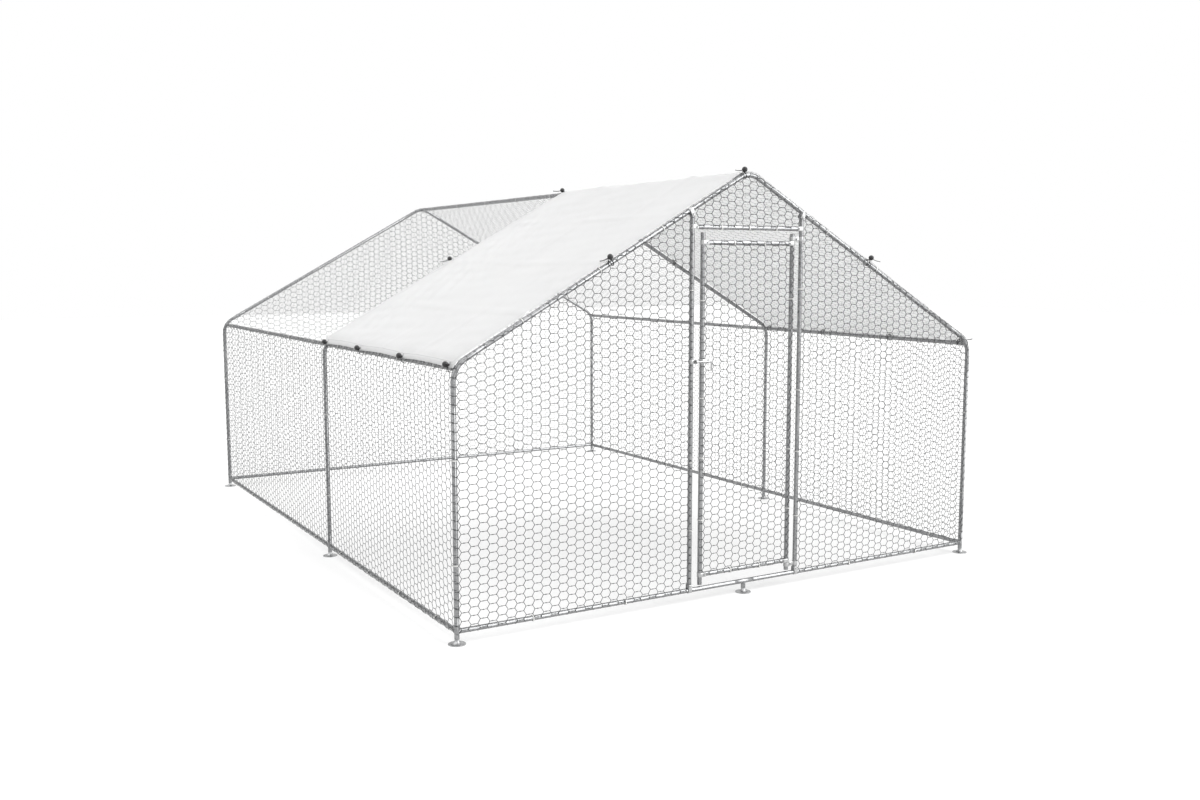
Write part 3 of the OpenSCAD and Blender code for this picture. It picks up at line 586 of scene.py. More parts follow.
def saddle(y):
    return math.sqrt(max(strap["inner"] ** 2 - (y - front) ** 2, 0))


def drawCopedRail(left, right, z):
    piece = put(drawPlainTube(right - left), atFront(left, z) @ alongX)

    def fitted(co):
        reach = saddle(co.y)
        co.x = left + reach if co.x < (left + right) / 2 else right - reach
        return co

    return shapeEnds(piece, fitted)


def drawDoorPost():
    top = run["ridge"] - door["post"] * math.tan(slope)
    piece = put(drawPlainTube(top - run["baseRail"]), atFront(-door["post"], run["baseRail"]))

    def fitted(co):
        reach = saddle(co.y)
        if co.z < top / 2:
            co.z = run["baseRail"] + reach
        else:
            co.z = top + ((co.x + door["post"]) * math.sin(slope) - reach) / math.cos(slope)
        return co

    return shapeEnds(piece, fitted)


postPattern = drawDoorPost()
for side, flip in bothSides:
    layTube(postPattern, flip, "door_post_" + side)
for node, body, left, right, z in (("lintel", "frame", -door["post"], door["post"], door["lintel"]),
                                   ("door_top_rail", "door", door["latch"], door["hinge"], door["high"]),
                                   ("door_bottom_rail", "door", door["latch"], door["hinge"], door["low"])):
    rail = drawCopedRail(left, right, z)
    rail.name = node + "_tube"
    handTube(rail, node, body)
stilePattern = drawPlainTube(door["stileHigh"] - door["stileLow"])
for node, x in (("latch_stile", door["latch"]), ("hinge_stile", door["hinge"])):
    layTube(stilePattern, atFront(x, door["stileLow"]), node, "door")
drop(postPattern, stilePattern)
print("door tubes drawn")


# Straps and bolts

def startPlate(width, height, spot):
    # an upright plate in edit mode
    letGo()
    bpy.ops.mesh.primitive_plane_add(size=1, location=spot, rotation=(math.pi / 2, 0, 0))
    piece = bpy.context.object
    piece.scale = (width, height, 1)
    settle(piece)
    edit(piece)
    return piece


def finishPlate(piece):
    done()
    faceOut(piece)
    thicken(piece, strap["thick"], 0.0)
    softenEdges(piece, strap["edge"])
    smooth(piece)
    return piece


def drawStrap():
    # round a tube along X, with both legs downwards
    piece = startPlate(strap["wide"], strap["leg"], (0, -strapMid, -strap["leg"] / 2))
    pick(piece, lambda point: point.co.z > -touching)
    sweep(-math.pi, (0, 0, 0), (1, 0, 0), strap["bendSteps"])
    pull(0, 0, -strap["leg"])
    return finishPlate(piece)


bolt = {"r": 0.003, "sides": 20, "edge": 0.0003, "headR": 0.0055, "head": 0.004, "nut": 0.005, "end": 0.002,
        "hexSides": 6, "crownIn": 0.0007, "crown": 0.0004, "dishIn": 0.0006, "dish": 0.0002, "hexEdge": 0.0002,
        "edgeAngle": 50, "crisp": 30}


def drawHex(height):
    piece = drawCylinder(bolt["hexSides"], bolt["headR"], height)
    edit(piece)
    pick(piece, lambda face: face.normal.z > facing, "FACE")
    bpy.ops.mesh.inset(thickness=bolt["crownIn"], depth=bolt["crown"])
    bpy.ops.mesh.inset(thickness=bolt["dishIn"], depth=-bolt["dish"])
    done()
    softenEdges(piece, bolt["hexEdge"], 1, bolt["edgeAngle"])
    return piece


def drawBolt(grip):
    # along Y with the head in front
    shank = drawCylinder(bolt["sides"], bolt["r"], grip + bolt["nut"] + bolt["end"])
    softenEdges(shank, bolt["edge"], 1, bolt["edgeAngle"])
    piece = join([put(drawHex(bolt["head"]), move(0, -grip / 2, 0) @ turn(90, "X")),
                  put(drawHex(bolt["nut"]), move(0, grip / 2, 0) @ alongY),
                  put(shank, move(0, -grip / 2, 0) @ alongY)], "bolt")
    smooth(piece, bolt["crisp"])
    return piece


def legsRight(x, z):
    return atFront(x, z) @ turn(-90, "Y")


def legsLeft(x, z):
    return atFront(x, z) @ turn(90, "Y")


strapPattern = drawStrap()
boltPattern = drawBolt(2 * strapOut)
shortBolt = drawBolt(2 * strap["thick"] + run["fit"])
topX = -door["post"] - strap["drop"] * math.sin(slope)
postTop = atFront(topX, run["ridge"] + topX * math.tan(slope)) @ Matrix.Rotation(-slope, 4, "Y")
postFoot = atFront(-door["post"], run["baseRail"]) @ turn(180, "X")
strapPlaces = mirrored([postTop, postFoot, legsRight(-door["post"], door["lintel"])])
hand(repeat(strapPattern, strapPlaces, "frame_straps_bent"), zincPlate, "frame", "hardware", "frame_straps")
doorPlaces = [legs(x, z) for z in (door["low"], door["high"])
              for legs, x in ((legsRight, door["latch"]), (legsLeft, door["hinge"]))]
hand(repeat(strapPattern, doorPlaces, "door_straps_bent"), zincPlate, "door", "hardware", "door_straps")

latch = {"height": 1.13, "out": 0.025, "rod": 0.004, "rodSides": 16, "bore": 0.0043, "sleeve": 0.0063, "sides": 20,
         "left": 0.015, "right": 0.0065, "eye": 0.0083, "eyeSides": 24, "eyeThick": 0.003, "eyeX": 0.0112,
         "tip": 0.002, "travel": 0.02, "bend": 0.01, "bendSteps": 8, "handle": 0.042, "collar": 0.003,
         "collarR": 0.0053, "round": 0.0012, "roundSteps": 3, "roundAngle": 60}
hinge = {"low": door["low"] - tubeR - run["fit"] - strap["wide"] / 2,
         "high": door["high"] + tubeR + run["fit"] + strap["wide"] / 2, "gap": door["post"] - door["hinge"]}
boltSpots = mirrored([postTop @ move(0, 0, -strap["drop"]),
                      atFront(-door["post"], run["baseRail"] + strap["drop"]),
                      atFront(-door["post"] + strap["drop"], door["lintel"])])
boltSpots.append(atFront(-door["post"] + strap["drop"], latch["height"]))
hingeSpots = [atFront(door["post"] - hinge["gap"] / 2, z) for z in (hinge["low"], hinge["high"])]
frameBolts = [repeat(boltPattern, boltSpots, "long_bolts"), repeat(shortBolt, hingeSpots, "short_bolts")]
hand(join(frameBolts, "frame_bolts_hex"), zincPlate, "frame", "hardware", "frame_bolts")
doorSpots = [atFront(x, z) for z in (door["low"], door["high"])
             for x in (door["latch"] + strap["drop"], door["hinge"] - strap["drop"])]
doorSpots.append(atFront(door["latch"] + strap["drop"], latch["height"]))
hand(repeat(boltPattern, doorSpots, "door_bolts_hex"), zincPlate, "door", "hardware", "door_bolts")


# Hinge clamps: two bent plates bolted together between the post and the door's stile

def drawHingeHalf():
    lift = strap["thick"] / 2 + run["fit"] / 2
    inset = math.sqrt(strapMid ** 2 - lift ** 2)
    wrap = math.pi - 2 * math.asin(lift / strapMid)
    gap = hinge["gap"]
    piece = startPlate(gap - 2 * inset, strap["wide"], (gap / 2, -lift, 0))
    pick(piece, lambda point: point.co.x < gap / 2)
    sweep(-wrap, (0, 0, 0), (0, 0, 1), tubeMake["bendSteps"])
    pick(piece, lambda point: abs(point.co.x - gap + inset) < touching and abs(point.co.y + lift) < touching)
    sweep(wrap, (gap, 0, 0), (0, 0, 1), tubeMake["bendSteps"])
    return finishPlate(piece)


halfPattern = drawHingeHalf()
clampPlaces = [atFront(door["hinge"], z) @ way for z in (hinge["low"], hinge["high"])
               for way in (asDrawn, turn(180, "X"))]
hand(repeat(halfPattern, clampPlaces, "hinge_clamps_bent"), zincPlate, "frame", "hardware", "hinge_clamps")
drop(halfPattern)


# Slide latch

def drawArm(width, depth, height):
    # plate between strap and sleeve
    piece = drawBox((width, depth, height), (width / 2, depth / 2, 0))
    softenEdges(piece, strap["edge"])
    smooth(piece)
    return piece


def drawHolder(name, x, ring, ringX, arm, armX):
    # a strap with the ring that the rod runs through and the arm between them
    spot = atFront(armX, latch["height"]) @ move(0, -latch["out"], 0)
    piece = join([copyAt(strapPattern, legsRight(x, latch["height"])),
                  copyAt(ring, spot @ move(ringX, 0, 0) @ alongX),
                  copyAt(arm, spot @ move(0, latch["bore"], 0))], name)
    drop(ring, arm)
    return piece


armDepth = latch["out"] - strapMid
guideSleeve = drawPlainTube(latch["left"] + latch["right"], latch["sleeve"], latch["sleeve"] - latch["bore"],
                            latch["sides"])
guideArm = drawArm(latch["right"], armDepth, latch["sleeve"])
guide = drawHolder("latch_guide_sleeve", door["latch"], guideSleeve, -latch["left"], guideArm, door["latch"])
hand(guide, zincPlate, "door", "hardware", "latch_guide")
keeperEye = drawPlainTube(latch["eyeThick"], latch["eye"], latch["eye"] - latch["bore"], latch["eyeSides"])
keeperArm = drawArm(latch["eyeThick"], armDepth - latch["bore"], 2 * latch["eye"])
keeper = drawHolder("latch_keeper_eye", -door["post"], keeperEye, 0, keeperArm, -door["post"] + latch["eyeX"])
hand(keeper, zincPlate, "frame", "hardware", "latch_keeper")


def drawLatchRod():
    tip = -door["post"] + latch["eyeX"] + latch["eyeThick"] + latch["tip"] - door["latch"]
    bendStart = latch["right"] + latch["travel"] + run["butt"]
    piece = startRing(latch["rodSides"], latch["rod"], move(tip, 0, 0) @ alongX)
    pull(bendStart - tip, 0, 0)
    sweep(math.pi / 2, (bendStart, 0, -latch["bend"]), (0, 1, 0), latch["bendSteps"])
    pull(0, 0, latch["bend"] - latch["handle"])
    bpy.ops.mesh.edge_face_add()
    pick(piece, lambda point: abs(point.co.x - tip) < touching)
    bpy.ops.mesh.edge_face_add()
    done()
    faceOut(piece)
    softenEdges(piece, latch["round"], latch["roundSteps"], latch["roundAngle"])
    smooth(piece)
    collar = drawPlainTube(latch["collar"], latch["collarR"], latch["collarR"] - latch["rod"], latch["sides"])
    put(collar, move(-latch["left"] - run["fit"] - latch["collar"], 0, 0) @ alongX)
    rod = join([piece, collar], "latch_rod")
    rod.data.transform(move(door["latch"], front - latch["out"], latch["height"]))
    return rod


hand(drawLatchRod(), footSteel, "latch", "hardware", "latch_bolt")
drop(strapPattern, boltPattern, shortBolt)
print("straps, hinges and latch drawn")

# Netting ties: a white band round tube and wires with a small cut-off head

netTie = {"r": 0.0123, "thick": 0.0013, "wide": 0.005, "sides": 16, "head": 0.0056, "headOut": 0.4,
          "headDepth": 0.8, "tongueIn": 0.0012, "tongue": 0.003, "pitch": 0.52, "crisp": 30}
tieShares = {"rafter": (0.14, 0.45, 0.72), "door": (0.17, 0.36, 0.54, 0.83), "rail": (0.25, 0.5, 0.75),
             "doorRail": (1 / 3, 2 / 3)}
# where the head sits round each tube
headTurn = {key: turn(degrees, "Z") for key, degrees in (
    ("post", 150), ("rafter", 180), ("base", 200), ("eave", 110), ("end", -60), ("doorPost", -70), ("ridge", 80),
    ("stile", -100))}


def drawNetTie():
    band = startRing(netTie["sides"], netTie["r"], move(0, 0, -netTie["wide"] / 2))
    pull(0, 0, netTie["wide"])
    done()
    faceOut(band)
    thicken(band, netTie["thick"], 1.0)
    size = netTie["head"]
    head = drawBox((size * netTie["headDepth"], size, size), (netTie["r"] + size * netTie["headOut"], 0, 0))
    edit(head)
    pick(head, lambda face: face.normal.y > facing, "FACE")
    bpy.ops.mesh.inset(thickness=netTie["tongueIn"])
    pull(0, netTie["tongue"], 0)
    done()
    piece = join([band, head], "net_tie")
    smooth(piece, netTie["crisp"])
    return piece


def evenly(length):
    count = math.ceil(length / netTie["pitch"] - tiny)
    return [length * (i + 0.5) / count for i in range(count)]


def netTiePlaces():
    lefts = []
    postStart = run["teeTop"] + 2 * run["taper"]
    for y in gables:
        lefts += [move(-run["halfWidth"], y, postStart + z) @ headTurn["post"]
                  for z in evenly(socketLow - postStart)]
        lefts += [onSlope(y, rafterStart + share * (rafterEnd - rafterStart)) @ alongX @ headTurn["rafter"]
                  for share in tieShares["rafter"]]
    for yStart, yEnd in bays:
        for d in evenly(yEnd - yStart):
            lefts.append(move(-run["halfWidth"], yStart + d, run["baseRail"]) @ alongY @ headTurn["base"])
            lefts.append(move(eaveSeat.x, yStart + d, eaveSeat.z) @ alongY @ headTurn["eave"])
    railStart = run["halfWidth"] - 2 * run["spigot"]
    railStop = door["post"] + 2 * run["spigot"]
    for y in (front, rear):
        lefts += [move(-railStart + d, y, run["baseRail"]) @ alongX @ headTurn["end"]
                  for d in evenly(railStart - railStop)]
    lefts += [atFront(-door["post"], run["baseRail"] + share * (door["lintel"] - run["baseRail"]))
              @ headTurn["doorPost"] for share in tieShares["door"]]
    places = mirrored(lefts)
    for yStart, yEnd in bays:
        places += [move(0, yStart + d, ridgeSeat.z) @ alongY @ headTurn["ridge"] for d in evenly(yEnd - yStart)]
    places += [atFront((2 * share - 1) * door["post"], door["lintel"]) @ alongX @ headTurn["end"]
               for share in tieShares["rail"]]
    return places


def doorTiePlaces():
    places = [atFront(x, door["low"] + share * (door["high"] - door["low"])) @ headTurn["stile"]
              for x in (door["latch"], door["hinge"]) for share in tieShares["door"]]
    places += [atFront(door["latch"] + share * (door["hinge"] - door["latch"]), z) @ alongX @ headTurn["end"]
               for z in (door["low"], door["high"]) for share in tieShares["doorRail"]]
    return places


bandPattern = drawNetTie()
hand(repeat(bandPattern, netTiePlaces(), "net_ties_bands"), whiteNylon, "frame", "white_ties", "net_ties")
hand(repeat(bandPattern, doorTiePlaces(), "door_net_ties_bands"), whiteNylon, "door", "white_ties", "door_net_ties")
drop(bandPattern)
print("netting ties drawn")

# Cover: one coated woven sheet stretched over the door end's bay, laced down by ties through eyelets

cover = {
    "off": 0.0164, "thick": 0.0008, "lap": 0.005, "hem": 0.028, "hemRise": 0.0006, "grid": 0.016,
    "edgeSteps": (0.0, 0.003, 0.008, 0.015, 0.026, 0.029, 0.045), "sag": 0.012,
    "scallop": 0.006, "archFrom": 0.03, "eaveBand": 0.05, "endBand": 0.06,
    "crease": 0.0048, "acrossFolds": (-1.32, -0.88, -0.44, 0.44, 0.88, 1.32), "acrossWide": 0.018,
    "alongFolds": (0.25, 0.5, 0.75), "alongWide": 0.011, "hills": 0.0026,
    "crumple": 0.0026, "crumpleFade": 0.1, "crumpleAt": (0.85, 0.3),
    "ripple": 0.007, "ripples": 58, "rippleAt": (0.83, 0.17), "rippleDown": (0.6, 0.32),
    "fan": 0.0022, "fanRays": 9.0, "fanStart": 0.03, "fanFade": 0.13, "eaveFanFade": 0.12,
    "slopeTies": (-1.0, -0.51, 0.0, 0.51, 1.0), "eaveTies": (1 / 3, 2 / 3),
    "eyeletIn": 0.01, "tieInset": 0.045, "ridgeTie": 0.032,
}


def slopeHalf(bendR):
    # the way from the ridge to an eave seat, over bends of that radius
    return slope * bendR + slopeStraight + eaveTurn / 2 * bendR


def downSlope(d, bendR):
    # X and Z that far down the right slope, and how far the normal leans
    ridgeArc = slope * bendR
    first = np.minimum(d, ridgeArc) / bendR
    along = np.clip(d - ridgeArc, 0, slopeStraight)
    last = np.maximum(d - ridgeArc - slopeStraight, 0) / bendR
    x = bendR * np.sin(first) + along * math.cos(slope)
    z = ridgeCentre.z + bendR * np.cos(first) - along * math.sin(slope)
    low = last > 0
    angle = slope + last
    x = np.where(low, -eaveCentre.x + bendR * np.sin(angle), x)
    z = np.where(low, eaveCentre.z + bendR * np.cos(angle), z)
    return x, z, np.where(low, angle, first)


def wave(a, b):
    # smooth hills from a few crossed waves, between -1 and 1
    return (np.sin(3.1 * a + 1.7 * b + 0.4) + np.sin(-2.3 * a + 4.3 * b + 1.9) + np.sin(5.2 * a + 0.9 * b + 3.1)
            + np.sin(1.1 * a - 6.1 * b + 5.0)) / 4


def bump(value, middle, width):
    return np.exp(-((value - middle) / width) ** 2)


def stations(low, high):
    # lines of the grid, closer together along the edges
    near = np.array(cover["edgeSteps"])
    inner = np.linspace(low + near[-1], high - near[-1], int((high - low) / cover["grid"]))
    return np.concatenate([low + near[:-1], inner, high - near[-2::-1]])


def spokes(across, depth, fade):
    # folds that fan out from a tie
    reach = np.hypot(across, depth) + tiny
    rays = np.maximum(np.cos(np.arctan2(across, np.abs(depth) + tiny) * cover["fanRays"]), 0)
    return rays * np.exp(-reach / fade) * np.minimum(reach / cover["fanStart"], 1)


def coverLift(s, y, sShare, yShare, wayIn, width, length):
    # how far each point stands off the stretched line
    bendR = run["bend"] + cover["off"]
    ridgeArc = slope * bendR
    # sag between the gables and between ridge and eave
    slopeShare = np.clip((np.abs(s) - ridgeArc * 0.5) / (slopeHalf(bendR) - ridgeArc * 0.9), 0, 1)
    free = np.sin(math.pi * slopeShare) ** 0.8
    belly = np.sin(math.pi * np.clip(yShare, 0, 1))
    lift = -cover["sag"] * free * belly ** 0.7
    # folds left from packing, then slow hills
    for spot in cover["acrossFolds"]:
        lift += cover["crease"] * bump(s, spot, cover["acrossWide"]) * (0.6 + 0.4 * np.sin(7 * y + 3 * spot))
    for share in cover["alongFolds"]:
        lift += cover["crease"] * bump(yShare, share, cover["alongWide"]) * (0.6 + 0.4 * np.sin(5 * s + 9 * share))
    lift += cover["hills"] * belly * free * (wave(1.3 * s, 1.1 * y) + 0.5 * wave(3.7 * s + 1.0, 2.9 * y))
    # fine crumples, most of them towards the back, that die out at the edges
    crumpled = np.clip(wayIn / cover["crumpleFade"], 0, 1) * (0.5 + 0.7 * bump(yShare, *cover["crumpleAt"]))
    lift += cover["crumple"] * crumpled * (1 + wave(13 * s, 9 * y + wave(3 * s, 2 * y)))
    # drag ripples that run down the slope beside the back edge
    across = 0.9 * y + 0.43 * np.abs(s)
    pulled = bump(yShare, *cover["rippleAt"]) * bump(sShare, *cover["rippleDown"])
    lift += cover["ripple"] * pulled * (1 + np.sin(cover["ripples"] * across + 2.2 * wave(2.0 * s, 1.5 * y)))
    for spot in cover["slopeTies"]:
        for end in (0.0, 1.0):
            lift += cover["fan"] * spokes(s - spot * width, (yShare - end) * length, cover["fanFade"])
    for share in cover["eaveTies"]:
        lift += cover["fan"] * spokes((yShare - share) * length, width - np.abs(s), cover["eaveFanFade"])
    return lift + np.where(wayIn < cover["hem"], cover["hemRise"], 0)


def drawCover():
    bendR = run["bend"] + cover["off"]
    width = slopeHalf(bendR) + cover["lap"]
    yLow, yHigh = front - cover["lap"], mid + cover["lap"]
    length = yHigh - yLow
    s, y = np.meshgrid(stations(-width, width), stations(yLow, yHigh), indexing="ij")
    flat = np.stack([s, y - yLow], -1)
    wayIn = np.minimum(width - np.abs(s), np.minimum(y - yLow, yHigh - y))
    sShare = np.abs(s) / width
    yShare = (y - yLow) / length
    # hung edges draw in between the ties
    archShare = np.clip((yShare - cover["archFrom"]) / (1 - 2 * cover["archFrom"]), 0, 1)
    eaveArch = np.abs(np.sin(3 * math.pi * archShare))
    endArch = np.abs(np.sin(2 * math.pi * sShare))
    s = s - np.sign(s) * cover["scallop"] * eaveArch * bump(sShare, 1.0, cover["eaveBand"])
    endPull = bump(yShare, 0.0, cover["endBand"]) - bump(yShare, 1.0, cover["endBand"])
    y = y + cover["scallop"] * endArch * endPull
    lift = coverLift(s, y, sShare, yShare, wayIn, width, length)
    x, z, lean = downSlope(np.abs(s), bendR)
    side = np.where(s < 0, -1.0, 1.0)
    points = np.stack([side * (x + np.sin(lean) * lift), y, z + np.cos(lean) * lift], -1)
    rows, columns = s.shape
    faces = [(a, a + columns, a + columns + 1, a + 1) for i in range(rows - 1)
             for a in range(i * columns, (i + 1) * columns - 1)]
    sheet = bpy.data.meshes.new("cover_sheet")
    sheet.from_pydata(points.reshape(-1, 3).tolist(), [], faces)
    layer = sheet.uv_layers.new(name="flat")
    corner = np.zeros(len(sheet.loops), np.int32)
    sheet.loops.foreach_get("vertex_index", corner)
    layer.data.foreach_set("uv", flat.reshape(-1, 2)[corner].astype(np.float32).ravel())
    piece = bpy.data.objects.new("cover_sheet", sheet)
    bpy.context.scene.collection.objects.link(piece)
    thicken(piece, cover["thick"], 0.0)
    work(piece)
    bpy.ops.object.shade_smooth()
    return piece, 2 * width, length


coverSheet, coverWidth, coverLength = drawCover()
weaveLook = {
    "tape": 131.0, "tapeWander": 0.25, "cloud": 2.6, "cloudDetail": 5.0, "cloudRough": 0.62, "cloudShare": 0.82,
    "dark": (0.86, 0.868, 0.865), "light": (0.95, 0.955, 0.95), "toneSpots": (0.2, 0.75), "gloss": (0.4, 0.55),
    "glossSpots": (0.3, 0.7), "bump": 0.4, "relief": 0.0004, "glow": 1.0, "depth": 0.0066,
    "half": coverWidth / 2, "length": coverLength, "hem": cover["hem"],
    "weldSpots": (0.41, 0.43, 0.49, 0.52), "weld": (1.0, 0.78, 0.78, 0.985),
}
coverWeave = weaveFinish("coverWeave", weaveLook)
hand(coverSheet, coverWeave, "frame", "cover_sheet", "cover")

# Eyelets: a spun lip that turns over into a flange

eyelet = {"hole": 0.006, "sides": 24, "wall": 0.0004, "lift": 0.0008, "crisp": 60,
          "steps": ((0.0012, 0.0062), (0.0005, 0.007), (0.0, 0.0087), (-0.0005, 0.0101), (-0.0006, 0.0105))}
eaveTieDepths = [front + cover["tieInset"], mid - cover["tieInset"]]
eaveTieDepths += [front + share * (mid - front) for share in cover["eaveTies"]]
endTieDepths = (front + cover["eyeletIn"], mid - cover["eyeletIn"])
rafterTie = rafterSpan / 2
eaveTieAngle = seatAngle - cover["eyeletIn"] / (run["bend"] + cover["off"])
ridgeTieAngle = math.pi / 2 + cover["ridgeTie"] / run["bend"]


def drawEyelet():
    piece = startRing(eyelet["sides"], eyelet["hole"])
    drawUp(eyelet["hole"], eyelet["steps"])
    return finishShell(piece, eyelet["wall"], 0.0, eyelet["crisp"])


eyeletPattern = drawEyelet()
onSheet = move(0, 0, cover["off"] + eyelet["lift"])
eyeletPlaces = mirrored([roundBend(eaveCentre, eaveTieAngle, y) @ onSheet for y in eaveTieDepths]
                        + [onSlope(y, rafterTie) @ onSheet for y in endTieDepths])
eyeletPlaces += [roundBend(ridgeCentre, ridgeTieAngle, y) @ onSheet for y in endTieDepths]
eyeletRings = repeat(eyeletPattern, eyeletPlaces, "eyelet_rings")
hand(eyeletRings, zincPlate, "frame", "hardware", "eyelets")
drop(eyeletPattern)

# Ball ties: an elastic loop round tube and sheet, drawn over a black ball, with its end left loose

ballTie = {"inner": 0.0188, "tight": 0.0128, "tighten": 1.4, "cord": 0.00125, "cordSides": 8, "loopSides": 32,
           "ball": 0.013, "ballSides": 24, "ballRings": 14, "sink": 0.0006, "mouth": 0.95, "mouthIn": 0.0004,
           "mouthDeep": 0.003, "tail": 0.056, "tailStart": 0.7, "tailAside": 1.3, "tailTurn": 6,
           "tailRises": (0.0004, 0.0012, 0.0024, 0.0036, 0.0044), "lean": 60, "crisp": 50}


def drawStrand(side):
    letGo()
    bpy.ops.mesh.primitive_torus_add(major_radius=ballTie["inner"] + ballTie["cord"], minor_radius=ballTie["cord"],
                                     major_segments=ballTie["loopSides"], minor_segments=ballTie["cordSides"],
                                     location=(0, 0, side * ballTie["cord"]))
    strand = bpy.context.object
    settle(strand)
    for point in strand.data.vertices:
        # the side away from the ball lies close to the tube
        away = 0.5 - 0.5 * point.co.x / math.hypot(point.co.x, point.co.y)
        shrink = 1 - (1 - ballTie["tight"] / ballTie["inner"]) * away ** ballTie["tighten"]
        point.co.x *= shrink
        point.co.y *= shrink
    return strand


def drawBallTie():
    # round a tube along Z, with the ball towards +X
    strands = [drawStrand(side) for side in (-1, 1)]
    ballX = ballTie["inner"] + 2 * ballTie["cord"] + ballTie["ball"] - ballTie["sink"]
    letGo()
    bpy.ops.mesh.primitive_uv_sphere_add(segments=ballTie["ballSides"], ring_count=ballTie["ballRings"],
                                         radius=ballTie["ball"], location=(0, 0, 0))
    ball = bpy.context.object
    edit(ball)
    # mouths of the hole that the cord runs through
    pick(ball, lambda face: abs(face.calc_center_median().z) > ballTie["mouth"] * ballTie["ball"], "FACE")
    bpy.ops.mesh.inset(thickness=ballTie["mouthIn"], depth=-ballTie["mouthDeep"])
    done()
    put(ball, move(ballX, 0, 0))
    tailStart = ballTie["tailStart"] * ballTie["ball"]
    tail = startRing(ballTie["cordSides"], ballTie["cord"],
                     move(ballX, -ballTie["tailAside"] * ballTie["cord"], -tailStart))
    rises = ballTie["tailRises"]
    reach = (ballTie["tail"] - tailStart) / len(rises)
    for rise in rises:
        pull(rise, 0, -reach)
    sweep(math.pi, (ballX + sum(rises), 0, -ballTie["tail"]), (1, 0, 0), ballTie["tailTurn"])
    for rise in reversed(rises):
        pull(-rise, 0, reach)
    done()
    faceOut(tail)
    piece = join(strands + [ball, tail], "ball_tie")
    smooth(piece, ballTie["crisp"])
    return piece


ballPattern = drawBallTie()
eaveWay = alongY @ turn(180 + math.degrees(eaveTurn / 2), "Z")
frontWay = alongX @ turn(270 - ballTie["lean"], "Z")
backWay = alongX @ turn(90 + ballTie["lean"], "Z")
endWays = ((front, frontWay), (mid, backWay))
ballPlaces = mirrored([move(eaveSeat.x, y, eaveSeat.z) @ eaveWay for y in eaveTieDepths]
                      + [onSlope(y, rafterTie) @ way for y, way in endWays])
ballPlaces += [roundBend(ridgeCentre, ridgeTieAngle, y) @ way for y, way in endWays]
hand(repeat(ballPattern, ballPlaces, "cover_ties_black"), blackNylon, "frame", "black_ties", "cover_ties")
drop(ballPattern)
print("cover, eyelets and ties drawn")

# Netting: hexagons of twisted wire

net = {"u": 0.0425, "v": 0.037, "twist": 0.031, "twistSteps": 4, "twistTurn": 67, "flatten": 0.55,
       "single": 0.0013, "wireSides": 3, "double": 0.0018, "pairSides": 4, "roofGauge": 0.5, "frontGauge": 1.22,
       "crisp": 60, "off": 0.0124, "roofOff": 0.0128, "wander": 0.0035, "kinkU": 0.0009, "kinkV": 0.0008,
       "kinkOut": 0.0012, "spare": 0.03, "wrap": 0.016, "wallSag": 0.002, "wallWave": 0.003}
# makes each panel's slack its own
netSeed = {"side": 0.7, "roof": 2.9, "rear": 4.1, "front": 5.3, "brow": 6.6, "door": 7.7}


def drawNetUnit(gauge=1.0):
    # two twisted pairs and the four single wires that join them
    parts = []
    steps = net["twistSteps"]
    for u, v in ((0.0, net["v"] / 2), (net["u"], 0.0)):
        pair = startRing(net["pairSides"], gauge * net["double"])
        bpy.ops.transform.resize(value=(1.0, net["flatten"], 1.0), center_override=(0, 0, 0))
        for step in range(1, steps + 1):
            pull(0, 0, net["twist"] / steps)
            bpy.ops.transform.rotate(value=math.radians(net["twistTurn"]), orient_axis="Z",
                                     center_override=(0, 0, net["twist"] * step / steps))
        done()
        parts.append(put(pair, move(u - net["twist"] / 2, v, 0) @ alongX))
    gap = net["u"] - net["twist"]
    rise = net["v"] / 2
    end = net["twist"] / 2
    for u, v, way in ((end, rise, -1), (end, -rise, 1), (net["u"] + end, 0, 1), (net["u"] + end, 0, -1)):
        wire = startRing(net["wireSides"], gauge * net["single"])
        pull(0, 0, math.hypot(rise, gap))
        done()
        parts.append(put(wire, move(u, v, 0) @ Matrix.Rotation(way * math.atan2(rise, gap), 4, "Z") @ alongX))
    unit = join(parts, "net_unit")
    faceOut(unit)
    smooth(unit, net["crisp"])
    return unit


wallUnit = drawNetUnit()
roofUnit = drawNetUnit(net["roofGauge"])
frontUnit = drawNetUnit(net["frontGauge"])


def drawNetting(unit, uLow, vLow, uHigh, vHigh, name):
    # the unit in rows and columns over a rectangle, u level and v up the panel
    piece = copyAt(unit, move(uLow, vLow, 0), name)
    for count, step in ((math.ceil((uHigh - uLow) / (2 * net["u"])) + 1, (2 * net["u"], 0, 0)),
                        (math.ceil((vHigh - vLow) / net["v"]) + 1, (0, net["v"], 0))):
        applyStep(piece, "ARRAY", count=count, use_relative_offset=False, use_constant_offset=True,
                  constant_offset_displace=step)
    return piece


def readPoints(piece):
    points = np.zeros(len(piece.data.vertices) * 3, np.float32)
    piece.data.vertices.foreach_get("co", points)
    return points.reshape(-1, 3).astype(float)


def writePoints(piece, points):
    piece.data.vertices.foreach_set("co", points.astype(np.float32).ravel())
    piece.data.update()


def trim(piece, cuts):
    # keeps what lies behind each cutting line, given by a point and a normal in the panel
    edit(piece)
    for (u, v), (nu, nv) in cuts:
        bpy.ops.mesh.select_all(action="SELECT")
        bpy.ops.mesh.bisect(plane_co=(u, v, 0), plane_no=(nu, nv, 0), clear_outer=True)
    done()


